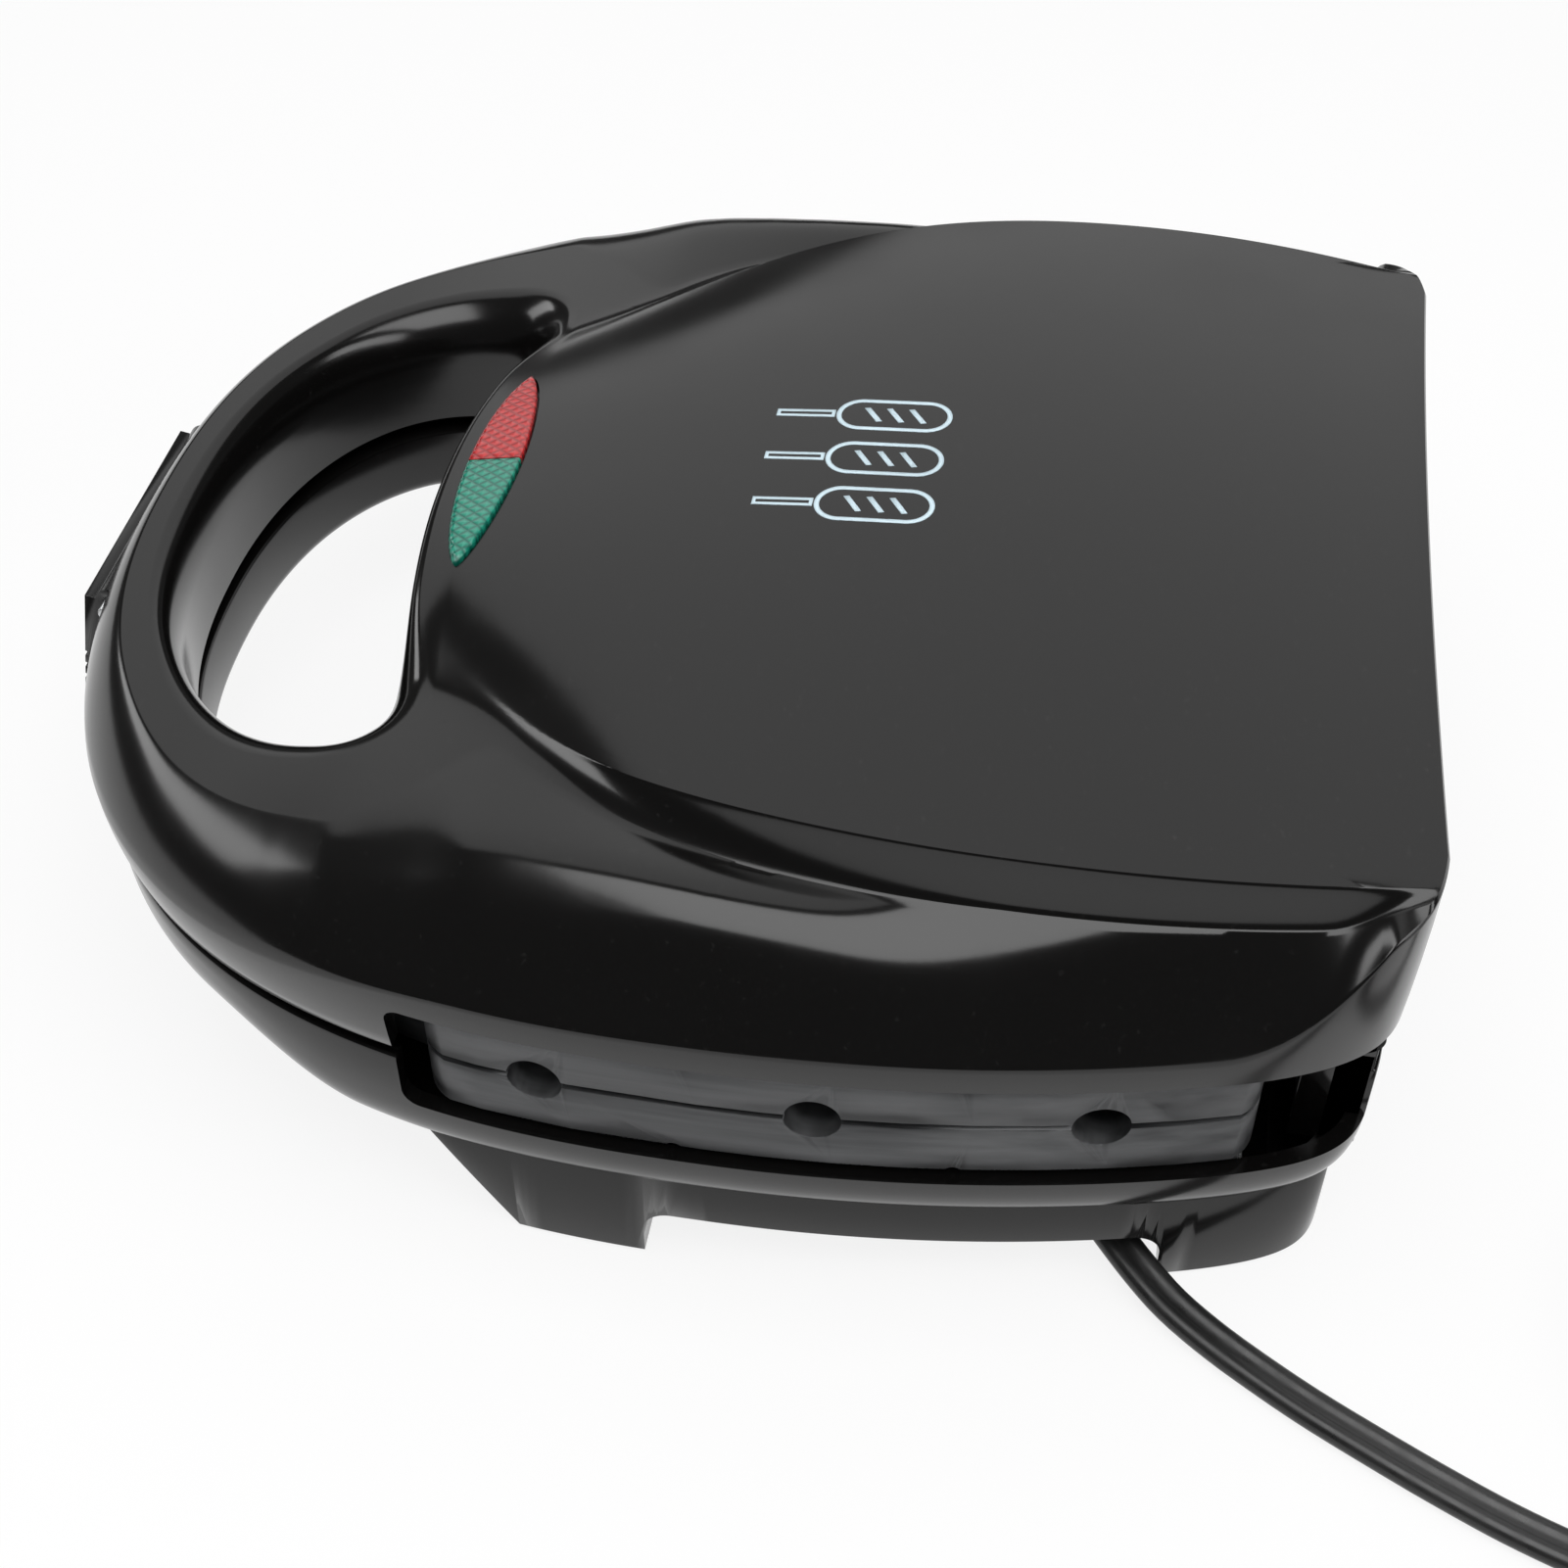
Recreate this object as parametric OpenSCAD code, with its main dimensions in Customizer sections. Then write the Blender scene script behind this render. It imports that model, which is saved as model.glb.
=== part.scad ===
// Corn dog maker: a countertop cooker with a hinged lid and a loop handle.
// Millimetres. +Z is up, the handle points to -Y and the hinge is at +Y.
// The housing is the same on both sides of X = 0.

/* [Housing] */
// Half of the housing's width at its widest
half_w = 112; // [105:1:120]
// Y of the front of the handle
front_y = -113.5; // [-119:0.5:-110]
// Y of the rear edge
rear_y = 125.5; // [123.5:0.5:130]
// Y where the housing is widest
wide_y = 15.5; // [10:0.5:20]
// Fullness of the front curve
front_power = 2.5; // [2.2:0.1:2.8]
// Sharpness of the rear corners
rear_power = 14; // [10:1:18]
// How much each side draws in towards the rear
rear_taper = 20; // [14:1:24]
// Hollow of the rear edge
rear_sag = 1.8; // [0.5:0.1:3]
// Wall of the mouldings
wall = 3; // [2.4:0.1:3.4]

/* [Heights] */
// Height of the lower face of the base
tub_z = 12; // [9:0.5:14]
// Underside of the base rim
rim_z = 22; // [21:0.5:24]
// Underside of the handle's lower half
grip_z = 29; // [26:0.5:31]
// Upper edge of the base
base_top = 44.3; // [43:0.1:45]
// Lower edge of the lid
lid_z = 47.5; // [47:0.1:48.5]
// Lower edge of the side openings
open_low = 33; // [31:0.5:35]
// Upper edge of the side openings
open_top = 59.2; // [58:0.1:60]
// Top of the lid's side wall, where the ring starts to lean in
roll_z = 64.8; // [63.4:0.2:66]
// Top of the handle's outer wall, where its roll starts
grip_roll_z = 58; // [57:0.5:61]
// Crest of the handle
grip_top = 74.5; // [72:0.5:77]
// Rise of the rolled ring from the handle to the rear
ring_rise = 9; // [7:0.5:11]
// Crown of the top panel
panel_top = 94.5; // [92:0.5:98]

/* [Panel and handle] */
// Half of the top panel's width
panel_w = 89; // [86:0.5:91]
// Y where the panel is widest
panel_y = 68.5; // [64:0.5:72]
// Length of the panel in front of that
panel_f = 118.4; // [115:0.2:120]
// Fullness of the panel's front
panel_power = 2.2; // [2:0.1:2.5]
// Fall of the panel from its middle to its sides
panel_fall_x = 4; // [2:0.5:6]
// Fall of the panel from its crown to its front
panel_fall_y = 12; // [9:0.5:14]
// Further fall of the panel at its front corners
panel_fall_c = 38; // [30:1:44]
// Half of the finger gap's width
gap_w = 61; // [56:0.5:63]
// Y of the finger gap's widest place
gap_y = -58.5; // [-60:0.5:-57]
// Depth of the finger gap in front of that
gap_f = 39.6; // [36:0.2:40]
// Depth of the finger gap behind it, on the middle line
gap_r = 7; // [6:0.5:8]
// Inset of the ring's shoulder along its sides
shoulder = 9; // [8:0.5:10]
// Inset of the ring's shoulder beside the finger gap
shoulder_wide = 20; // [17:0.5:22]
// Inset of the roll on the handle
grip_roll = 8; // [7:0.5:8.5]

/* [Cooking plates] */
// Gap between the closed plates
plate_gap = 1.3; // [1:0.1:2]
// Depth of a plate's rim
plate_rim = 10.4; // [9.4:0.1:10.6]
// Y of the front of the plates
plate_front = -39; // [-40:0.5:-37]
// Y of the rear of the plates
plate_rear = 103.5; // [102:0.5:106]
// Clearance from the widest outline to the side of the plates
plate_inset = 3.6; // [3:0.1:5]
// Y of the middle cavity
cavity_y = 34; // [33:0.5:35]
// Distance from cavity to cavity
cavity_pitch = 45; // [43:0.5:46]
// Radius of a cavity
cavity_r = 16; // [14:0.5:16.5]
// Metal behind a cavity
plate_wall = 2.5; // [2:0.1:3]
// X of a cavity's inner end
cavity_in = 14; // [12:0.5:16]
// X of a cavity's outer end
cavity_out = 92; // [88:0.5:93]
// Radius of the stick notches
stick_r = 4.6; // [4:0.1:5]

/* [Hinge and latch] */
// Y of the hinge
hinge_y = 118.4; // [117.5:0.1:119]
// Height of the hinge
hinge_z = 52; // [51.5:0.1:52.5]
// Radius of the hinge pins
pin_r = 2; // [1.8:0.1:2.2]
// Metal round the hinge pins
pin_wall = 1.6; // [1.4:0.1:1.7]
// X of the inner face of the hinge columns
column_x = 74; // [73:0.5:75]
// Width of a hinge column
column_w = 8; // [7:0.5:9]
// Width of a hinge ear on the lid
ear_w = 9.5; // [8:0.5:11]
// Gap from ear to column
ear_gap = 0.5; // [0.4:0.1:0.8]
// Radial clearance of the running pins
running = 0.05; // [0.02:0.01:0.09]
// Width of the latch
latch_w = 51; // [44:1:54]
// Height of the latch pin
latch_z = 62.5; // [62:0.5:63.5]
// Depth of the latch pin behind the handle's front
latch_in = 4; // [3.8:0.1:4.4]
// Radius of the latch pin
latch_pin_r = 1.5; // [1.2:0.1:1.7]
// Length of the latch below its pin
latch_len = 25; // [24:0.5:26]
// How far the latch is swung out, degrees
latch_swing = 12; // [11:1:20]

/* [Feet and cord] */
// Inset of the tub's wall from the widest outline
tub_inset = 5.5; // [5:0.1:6.5]
// Width of a foot
foot_w = 30; // [28:1:34]
// Y of the front feet's middle
foot_front = -6; // [-10:0.5:-2]
// Y of the rear feet's front
foot_rear = 92; // [88:1:98]
// Length of a foot where it stands
foot_len = 22; // [18:1:26]
// Lean of the front feet, degrees
foot_lean = 35; // [28:1:40]
// Height of the foot pads
pad_h = 1.6; // [1.2:0.1:2]
// Width of the flat cord
cord_w = 7; // [6.4:0.1:7.2]
// Thickness of the flat cord
cord_t = 3.6; // [3.2:0.1:3.8]

/* [Hidden] */
$fn = 48;
black = "#161617";
plate_grey = "#4a4b4d";
steel = "#b9bbbd";

// Columns of the housing's skin, counted on the right half from the front middle to the rear middle
col_side = 15;
col_corner = 23;
col_rear = 28;
col_end = 33;
cols = 2 * col_end;
front_b = wide_y - front_y;
rear_b = rear_y - wide_y;
side_step = 0.1;
side_last = side_step * (col_corner - col_side);
corner_start = asin(pow(side_last, rear_power / 2));
corner_end = 75;

function unit(v) = v / norm(v);
function lerp(a, b, t) = a + (b - a) * t;
function clamp01(t) = min(1, max(0, t));
function ease(t) = let (c = clamp01(t)) c * c * (3 - 2 * c);
function mirrored(p) = [-p[0], p[1]];

// Widest outline of the housing
function front_rim(q) = [half_w * pow(sin(q), 2 / front_power),
    wide_y - front_b * pow(cos(q), 2 / front_power)];
function side_rim(s) = [(half_w - rear_taper * s * s) * pow(1 - pow(s, rear_power), 1 / rear_power),
    wide_y + rear_b * s];
function corner_rim(a) = let (s = pow(sin(a), 2 / rear_power))
    [(half_w - rear_taper * s * s) * pow(cos(a), 2 / rear_power), wide_y + rear_b * s];
function rear_rim(t) = let (c = corner_rim(corner_end)) [c[0] * t, c[1] - rear_sag * (1 - t * t)];
function rim(j) = j < 0 ? mirrored(rim(-j))
    : j > col_end ? mirrored(rim(2 * col_end - j))
    : j <= col_side ? front_rim(90 * j / col_side)
    : j <= col_corner ? side_rim(side_step * (j - col_side))
    : j <= col_rear ? corner_rim(lerp(corner_start, corner_end, (j - col_corner) / (col_rear - col_corner)))
    : rear_rim((col_end - j) / (col_end - col_rear));
function side_at(y) = y > wide_y ? side_rim((y - wide_y) / rear_b)[0]
    : half_w * pow(1 - pow((wide_y - y) / front_b, front_power), 1 / front_power);
function inward(j) = let (t = rim(j + 0.05) - rim(j - 0.05)) unit([-t[1], t[0]]);
function rim_in(j, d) = rim(j) + inward(j) * d;

// Finger gap of the loop handle; its angle runs from 0 at the front to 180 at the rear
gap_front_power = 2.2;
gap_rear_power = 3;
col_gap_end = 10;
function gap_angle(j) = j <= col_gap_end ? 90 * j / col_gap_end
    : j <= col_side ? lerp(90, 130, (j - col_gap_end) / (col_side - col_gap_end))
    : lerp(130, 180, (j - col_side) / (col_end - col_side));
function gap_front(a) = [gap_w * pow(sin(a), 2 / gap_front_power),
    gap_y - gap_f * pow(cos(a), 2 / gap_front_power)];
function gap_rear(a) = let (x = gap_w * pow(sin(a), 2 / gap_rear_power))
    [x, gap_y + gap_r * (1 + pow(x / 48, 2)) * pow(cos(180 - a), 2 / gap_rear_power)];
function gap(j) = j < 0 ? mirrored(gap(-j))
    : j > col_end ? mirrored(gap(2 * col_end - j))
    : gap_angle(j) <= 90 ? gap_front(gap_angle(j)) : gap_rear(gap_angle(j));
function gap_out(j) = let (t = gap(j + 0.05) - gap(j - 0.05)) unit([t[1], -t[0]]);

// Top panel: its edge, its crown and the ring below it
function panel_x(y) = y < panel_y
    ? panel_w * pow(max(0, 1 - pow((panel_y - y) / panel_f, panel_power)), 1 / panel_power)
    : panel_w - 7 * pow((y - panel_y) / (rear_y - panel_y), 2);
// Y in front of that at which the panel is w wide, counted from the middle
function panel_front(w) = panel_y - panel_f * pow(1 - pow(w / panel_w, panel_power), 1 / panel_power);
function crown(p) = let (x = abs(p[0]) / panel_w, v = (panel_y - p[1]) / panel_f)
    panel_top - panel_fall_x * x * x - panel_fall_y * v * v - panel_fall_c * pow(x, 3) * pow(max(0, v), 4);
function ring_z(y) = grip_top + ring_rise * clamp01((y - gap_y + 16) / 190);
function roll_top(p) = lerp(ring_z(p[1]), crown(p), ease((p[1] - rear_y + 17.5) / 16));

// Distance from the panel's edge, counted outwards
function panel_off(p) = let (x = abs(p[0]) / panel_w, v = (panel_y - p[1]) / panel_f, n = panel_power)
    v < 0 ? abs(p[0]) - panel_x(p[1])
    : (pow(x, n) + pow(v, n) - 1) / (n * norm([pow(x, n - 1) / panel_w, pow(v, n - 1) / panel_f]));

// Height of the lid's top: the ring, the panel, and the step between them, which fades to a ramp in front
ramp_run = 28;
step_front = 7;
step_rear = 2.4;
function run_at(y) = lerp(ramp_run, lerp(step_front, step_rear, clamp01((y + 20) / 80)), ease((y + 45) / 22));
function top_z(p) = let (
        low = roll_top(p),
        u = clamp01(1 - panel_off(p) / run_at(p[1])))
    lerp(low, max(low, crown(p)), lerp(ease(u), pow(u, 1.8), ease((p[1] + 40) / 20)));

// Outer side of the ring: where its wall ends, where its shoulder lies and how it leans between the two
shoulder_y = -5;
function wall_top(y) = lerp(grip_roll_z, roll_z, ease((y + 80) / 60))
    + (panel_top - roll_z) * pow(max(0, (y - rear_y + 30.5) / 27), 2);
function shoulder_at(y) = let (v = (y - shoulder_y) / (y > shoulder_y ? 28 : 45))
    lerp(y > shoulder_y ? shoulder : grip_roll, shoulder_wide, exp(-v * v));
function bulge(s) = sqrt(1 - pow(1 - s, 2));
function lean(t) = pow(pow(t, -4) + 1, -0.25);
function roll_rise(u, reach, y) = lerp(bulge(u), lean(u * reach) / lean(reach), ease((y + 70) / 50));

function fold(j) = j > col_end ? 2 * col_end - j : j;
function gap_roll(j) = let (a = gap_angle(fold(j)))
    lerp(lerp(4.5, 9, ease((a - 40) / 50)), 2.4, ease((a - 110) / 50));

// Where a column of the skin crosses the panel's edge, or the middle of the handle
rear_edge = 1.5;
function crease_share(j) = ease((fold(j) - col_gap_end - 1) / 2);
function edge_right(j) = j > col_corner
    ? let (p = rim_in(j, rear_edge)) [min(p[0], panel_x(p[1])), p[1]]
    : let (y = rim(j)[1], mid = lerp(rim_in(j, grip_roll), gap(j) + gap_out(j) * gap_roll(j), 0.5))
        lerp(mid, [panel_x(y), y], crease_share(j));
function edge(j) = j > col_end ? mirrored(edge_right(2 * col_end - j)) : edge_right(j);

function at(p, z) = [p[0], p[1], z];
function on_top(p) = at(p, top_z(p));
lip_inset = 1.5;
roll_rows = [0.12, 0.28, 0.46, 0.7];
step_rows = [0, 0.4, 0.75, 1];
panel_rows = [1 / 3, 2 / 3];
// Columns of the lid, set closer where the ramp turns round the end of the finger gap
lid_cols = [for (j = [0 : 0.5 : cols - 0.5]) if (j == floor(j) || (fold(j) > 9 && fold(j) < 16)) j];
function lid_column(j) = let (
        o = rim(j),
        e = edge(j),
        run = lerp(2, run_at(e[1]), crease_share(j)),
        foot = lerp(e, o, min(0.7, run / norm(e - o))),
        zf = top_z(foot),
        zw = min(wall_top(o[1]), zf - 0.8),
        reach = norm(foot - o) / shoulder_at(o[1]),
        h = gap(j),
        brow = h + gap_out(j) * gap_roll(j),
        zb = top_z(brow),
        zh = lerp(61, zb - 2.5, ease((gap_angle(fold(j)) - 100) / 60)))
    concat(
        [at(rim_in(j, lip_inset), lid_z), at(rim_in(j, 0.4), lerp(lid_z, zw, 0.5)), at(o, zw)],
        [for (u = roll_rows) at(lerp(o, foot, u), lerp(zw, zf, roll_rise(u, reach, o[1])))],
        [for (t = step_rows) on_top(lerp(foot, e, t))],
        [for (t = panel_rows) on_top(lerp(e, brow, t))],
        [at(brow, zb), at(lerp(brow, h, 0.6), lerp(zh, zb, bulge(0.4))), at(h, zh), at(h, lid_z)]);

base_inset = 2;
function rim_under(y) = lerp(grip_z, rim_z, ease((y + 75) / 30));
function base_column(j) = let (
        zo = rim_under(rim(j)[1]),
        h = gap(j),
        zi = rim_under(h[1]))
    concat(
        [for (k = [[6, zo], [3.4, zo + 0.6], [1.6, zo + 2.5], [0.5, zo + 6], [0, zo + 12], [0, base_top]])
            at(rim_in(j, base_inset + k[0]), k[1])],
        [for (k = [[0, base_top], [0, zi + 4], [1.5, zi + 1.2], [5, zi]]) at(h + gap_out(j) * k[0], k[1])]);

// A closed ring of columns, each a closed loop of points
module skin(columns) {
    n = len(columns);
    m = len(columns[0]);
    polyhedron(
        points = [for (c = columns) for (p = c) p],
        faces = [for (i = [0 : n - 1]) for (k = [0 : m - 1]) for (half = [0, 1])
            let (a = i * m + k, b = i * m + (k + 1) % m,
                c = ((i + 1) % n) * m + (k + 1) % m, d = ((i + 1) % n) * m + k)
            half == 0 ? [a, b, c] : [a, c, d]]);
}

// Prism of the housing's outline, drawn in by d
module outline_prism(d, z0, z1) {
    translate([0, 0, z0]) linear_extrude(z1 - z0) polygon([for (j = [0 : cols - 1]) rim_in(j, d)]);
}

// Part of the outline behind the plane Y = y0
module body_prism(d, y0, z0, z1) {
    intersection() {
        outline_prism(d, z0, z1);
        translate([-half_w - 10, y0, z0 - 1]) cube([2 * half_w + 20, rear_y - y0 + 10, z1 - z0 + 2]);
    }
}

// A prism under the panel is at least nose_w wide at its front, counted from the middle
holder_w = 18;
nose_w = holder_w + 3;
module panel_prism(d, y0, z0, z1) {
    first = max(y0, panel_front(d + nose_w));
    half = [for (y = [first : (rear_y - 8 - first) / 12 : rear_y - 8]) [panel_x(y) - d, y]];
    loop = concat(half, [for (i = [len(half) - 1 : -1 : 0]) mirrored(half[i])]);
    translate([0, 0, z0]) linear_extrude(z1 - z0) polygon(loop);
}

module both_sides() {
    children();
    mirror([1, 0, 0]) children();
}

// Side opening with round corners at its front end
module side_opening(x0, y1, z0, z1, up) {
    r = 3;
    far = half_w + 20 - x0;
    both_sides() translate([x0, 0, 0]) {
        translate([0, open_front + r, z0]) cube([far, y1 - open_front - r, z1 - z0]);
        translate([0, open_front, up ? z0 : z0 + r]) cube([far, y1 - open_front, z1 - z0 - r]);
        translate([0, open_front + r, up ? z1 - r : z0 + r]) rotate([0, 90, 0]) cylinder(h = far, r = r);
    }
}

open_front = plate_front + 4.5;
cavity_front = plate_front - 2;
lid_cavity_in = lip_inset + wall;
hump_inset = 10;
post_r = 4.5;
seat_r = 7;
screw_r = 1.7;
posts = [cavity_y - cavity_pitch, cavity_y + cavity_pitch];
mid_z = (base_top + lid_z) / 2;
plate_low = mid_z - plate_gap / 2;
plate_high = mid_z + plate_gap / 2;
lower_back = plate_low - plate_rim;
upper_back = plate_high + plate_rim;
shield_t = 0.8;
lower_shield_z = lower_back - 12.5;
upper_shield_z = upper_back + 12.5;
lid_ceiling = upper_shield_z + 7;
hump_top = plate_high + cavity_r + plate_wall + 0.6;
floor_t = 3;
// Rib on the base that closes the seam in front of the plates
rib_w = half_w - 20;
rib_t = 2;
rib_h = lid_z - base_top - 0.6;
column_r = pin_r + pin_wall;
column_z = rim_z + 3;
column_d = 12;
slop = 1;

module pin_hole(x0, len, r) {
    translate([x0, hinge_y, hinge_z]) rotate([0, 90, 0]) cylinder(h = len, r = r);
}

// Lens window, in the slope of the panel
lens_y = -42;
lens_half = 28;
lens_rise = 5.2;
lens_t = 3.4;
lens_tilt = 11.5;
lens_gap = 0.25;
lens_proud = 0.4;
lens_crown = 0.8;
lens_z = crown([0, lens_y]) + lens_proud;
leaf_r = (lens_half * lens_half + lens_rise * lens_rise) / (2 * lens_rise);
ledge = 1.4;
module leaf(d, z0, z1) {
    translate([0, lens_y, lens_z]) rotate([lens_tilt, 0, 0]) translate([0, 0, z0]) intersection() {
        translate([0, leaf_r - lens_rise, 0]) cylinder(h = z1 - z0, r = leaf_r + d, $fn = 96);
        translate([0, lens_rise - leaf_r, 0]) cylinder(h = z1 - z0, r = leaf_r + d, $fn = 96);
    }
}

latch_y = front_y + latch_in;
latch_t = 3;
latch_barrel = latch_pin_r + 1.6;
latch_room = 0.6;
hook_h = 2.6;
hook_z = latch_z - latch_len;
pocket_deep = latch_y + latch_barrel + latch_room;
ledge_h = 5;

module lid_shell() {
    ear_x = column_x - ear_gap - ear_w;
    color(black) difference() {
        union() {
            difference() {
                skin([for (j = lid_cols) lid_column(j)]);
                body_prism(lid_cavity_in, cavity_front, lid_z - slop, upper_back + 4);
                body_prism(hump_inset, cavity_front, lid_z - slop, hump_top);
                panel_prism(panel_wall, cavity_front, lid_z - slop, lid_ceiling);
                side_opening(column_x - ear_gap, rear_y + 5, lid_z - slop, open_top, true);
            }
            for (y = posts) translate([0, y, upper_back]) {
                cylinder(h = lid_ceiling + slop - upper_back, r = post_r);
                translate([0, 0, upper_shield_z + shield_t - upper_back])
                    cylinder(h = lid_ceiling + slop - upper_shield_z - shield_t, r = seat_r);
            }
            both_sides() {
                translate([ear_x, hinge_y - column_r, hinge_z])
                    cube([ear_w, 2 * column_r, lid_ceiling + slop - hinge_z]);
                pin_hole(ear_x, ear_w, column_r);
            }
        }
        for (y = posts) translate([0, y, upper_back - slop])
            cylinder(h = lid_ceiling - upper_back, r = screw_r);
        both_sides() pin_hole(ear_x - slop, ear_w + 2 * slop, pin_r + 0.02);
        leaf(lens_gap, -lens_t, lens_t);
        leaf(-ledge, -lens_t - 14, 0);
        translate([-latch_w / 2 - latch_room, front_y - 10, lid_z - slop])
            cube([latch_w + 2 * latch_room, pocket_deep - front_y + 10, latch_z + latch_barrel + latch_room
                - lid_z + slop]);
        translate([-latch_w / 2 - 4, latch_y, latch_z]) rotate([0, 90, 0])
            cylinder(h = latch_w + 8, r = latch_pin_r);
    }
}

// Feet: the tub's wall carried down, cut by a leaning front and by the arches between the feet
pad_r = 6;
pads = [[half_w - 17, foot_front], [half_w - 27.5, foot_rear + 12]];
foot_back = foot_front + foot_len / 2;
foot_top = foot_front - foot_len / 2;
block_at = [half_w - 50, 57.5];
block_turn = 40.7;
block = [16, 20];
block_low = 1.2;
relief_z = 6.4;
relief_r = 4.4;
relief_in = 10;
relief_len = 24;
module cord_frame() {
    translate([block_at[0], block_at[1], 0]) rotate([0, 0, block_turn]) children();
}
module tub() {
    arch_r = 5;
    difference() {
        body_prism(tub_inset, cavity_front - wall, pad_h / 2, rim_z + 1);
        translate([-half_w, foot_top, 0]) rotate([foot_lean, 0, 0]) translate([0, -90, -30])
            cube([2 * half_w, 90, 90]);
        both_sides() {
            translate([half_w - 90, foot_back + arch_r, -slop])
                cube([100, foot_rear - foot_back - 2 * arch_r, tub_z + slop]);
            translate([half_w - 90, foot_back, -slop])
                cube([100, foot_rear - foot_back, tub_z - arch_r + slop]);
            for (y = [foot_back + arch_r, foot_rear - arch_r])
                translate([half_w - 90, y, tub_z - arch_r]) rotate([0, 90, 0]) cylinder(h = 100, r = arch_r);
        }
        translate([-half_w + tub_inset + foot_w, front_y, -slop])
            cube([2 * (half_w - tub_inset - foot_w), rear_y - front_y + 10, tub_z + slop]);
    }
}
module base_shell() {
    floor_z = tub_z + floor_t;
    color(black) difference() {
        union() {
            difference() {
                union() {
                    skin([for (j = [0 : cols - 1]) base_column(j)]);
                    tub();
                }
                body_prism(tub_inset + wall, cavity_front, floor_z, base_top + slop);
                body_prism(base_inset + wall, cavity_front, rim_z + 4, base_top + slop);
                side_opening(column_x - 10, hinge_y - column_r - 0.5, open_low, base_top + slop, false);
                translate([-column_x, hinge_y - column_r - 0.5, base_top - 2.3])
                    cube([2 * column_x, 30, 10]);
                both_sides() translate([column_x + column_w, hinge_y - column_r - 1, open_low])
                    cube([60, 40, 30]);
            }
            intersection() {
                outline_prism(base_inset, column_z, hinge_z + column_r + slop);
                both_sides() {
                    translate([column_x, hinge_y + column_r - column_d, column_z])
                        cube([column_w, column_d, hinge_z - column_r - column_z]);
                    translate([column_x, hinge_y - column_r, column_z])
                        cube([column_w, 2 * column_r, hinge_z - column_z]);
                    pin_hole(column_x, column_w, column_r);
                }
            }
            for (y = posts) translate([0, y, floor_z - slop]) {
                cylinder(h = lower_back - floor_z + slop, r = post_r);
                cylinder(h = lower_shield_z - shield_t - floor_z + slop, r = seat_r);
            }
            translate([-rib_w, cavity_front - rib_t - slop, base_top - slop])
                cube([2 * rib_w, rib_t, rib_h + slop]);
            cord_frame() translate([-block[0], -block[1] / 2, block_low])
                cube([block[0], block[1], tub_z - block_low + slop]);
        }
        for (y = posts) translate([0, y, floor_z]) cylinder(h = lower_back - floor_z + slop, r = screw_r);
        both_sides() pin_hole(column_x - slop, column_w + 2 * slop, pin_r + running);
        both_sides() for (p = pads) translate([p[0], p[1], -slop]) cylinder(h = pad_h + slop, r = pad_r);
        cord_frame() translate([-relief_in, 0, relief_z]) rotate([0, 90, 0])
            cylinder(h = relief_in + slop, r = relief_r);
        translate([-latch_w / 2 - latch_room, front_y - 10, hook_z - 1.5])
            cube([latch_w + 2 * latch_room, pocket_deep - front_y + 10, hook_h + 2.5]);
        translate([-latch_w / 2 - latch_room, front_y - 10, hook_z - 1.5])
            cube([latch_w + 2 * latch_room, latch_y - 1.8 - front_y + 10, base_top - hook_z + 3]);
    }
}

// Cooking plate, face up, with its face at Z = 0
module plate() {
    y_in = open_front + plate_back;
    hump = cavity_r + plate_wall;
    difference() {
        union() {
            translate([0, 0, -plate_rim]) intersection() {
                union() {
                    body_prism(plate_inset + plate_round + 1, plate_front, 0, plate_rim);
                    body_prism(plate_inset, y_in, 0, plate_rim);
                }
                translate([-half_w, front_y, -slop])
                    cube([2 * half_w, plate_rear - front_y, plate_rim + 2 * slop]);
            }
            intersection() {
                cavities(hump, cavity_in - plate_wall, cavity_out + plate_wall);
                translate([-half_w, front_y, -hump - slop]) cube([2 * half_w, rear_y - front_y, hump + slop]);
            }
        }
        cavities(cavity_r, cavity_in, cavity_out);
        for (k = [-1 : 1]) translate([0, cavity_y + k * cavity_pitch, plate_gap / 2]) both_sides()
            translate([cavity_out - cavity_r / 2, 0, 0]) rotate([0, 90, 0])
                cylinder(h = half_w - cavity_out + cavity_r, r = stick_r);
        for (y = posts) translate([0, y, -plate_rim - slop]) {
            cylinder(h = plate_rim + 2 * slop, r = screw_r + 0.2);
            translate([0, 0, plate_rim + slop - screw_head])
                cylinder(h = screw_head + slop, r = head_r + 0.3);
        }
        element_path(element_r + 0.05);
        element_rods(half_w, rod_r + 0.3);
        both_sides() {
            corner_cut(side_at(y_in + plate_round) - plate_inset, y_in, -1);
            corner_cut(side_at(plate_rear - plate_round) - plate_inset, plate_rear, 1);
        }
    }
}
// Takes a sharp corner off the plate; end is -1 at its front and 1 at its rear
module corner_cut(x, y, end) {
    r = plate_round;
    translate([x - r, y - end * r, -plate_rim - slop]) difference() {
        translate([0, end > 0 ? 0 : -r - slop, 0]) cube([r + 3, r + slop, plate_rim + 2 * slop]);
        translate([0, 0, -slop]) cylinder(h = plate_rim + 4 * slop, r = r);
    }
}
module cavities(r, x0, x1) {
    for (k = [-1 : 1]) translate([0, cavity_y + k * cavity_pitch, 0]) both_sides() {
        translate([x0 + r, 0, 0]) rotate([0, 90, 0]) cylinder(h = x1 - x0 - 2 * r, r = r);
        for (x = [x0 + r, x1 - r]) translate([x, 0, 0]) sphere(r = r);
    }
}
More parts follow.
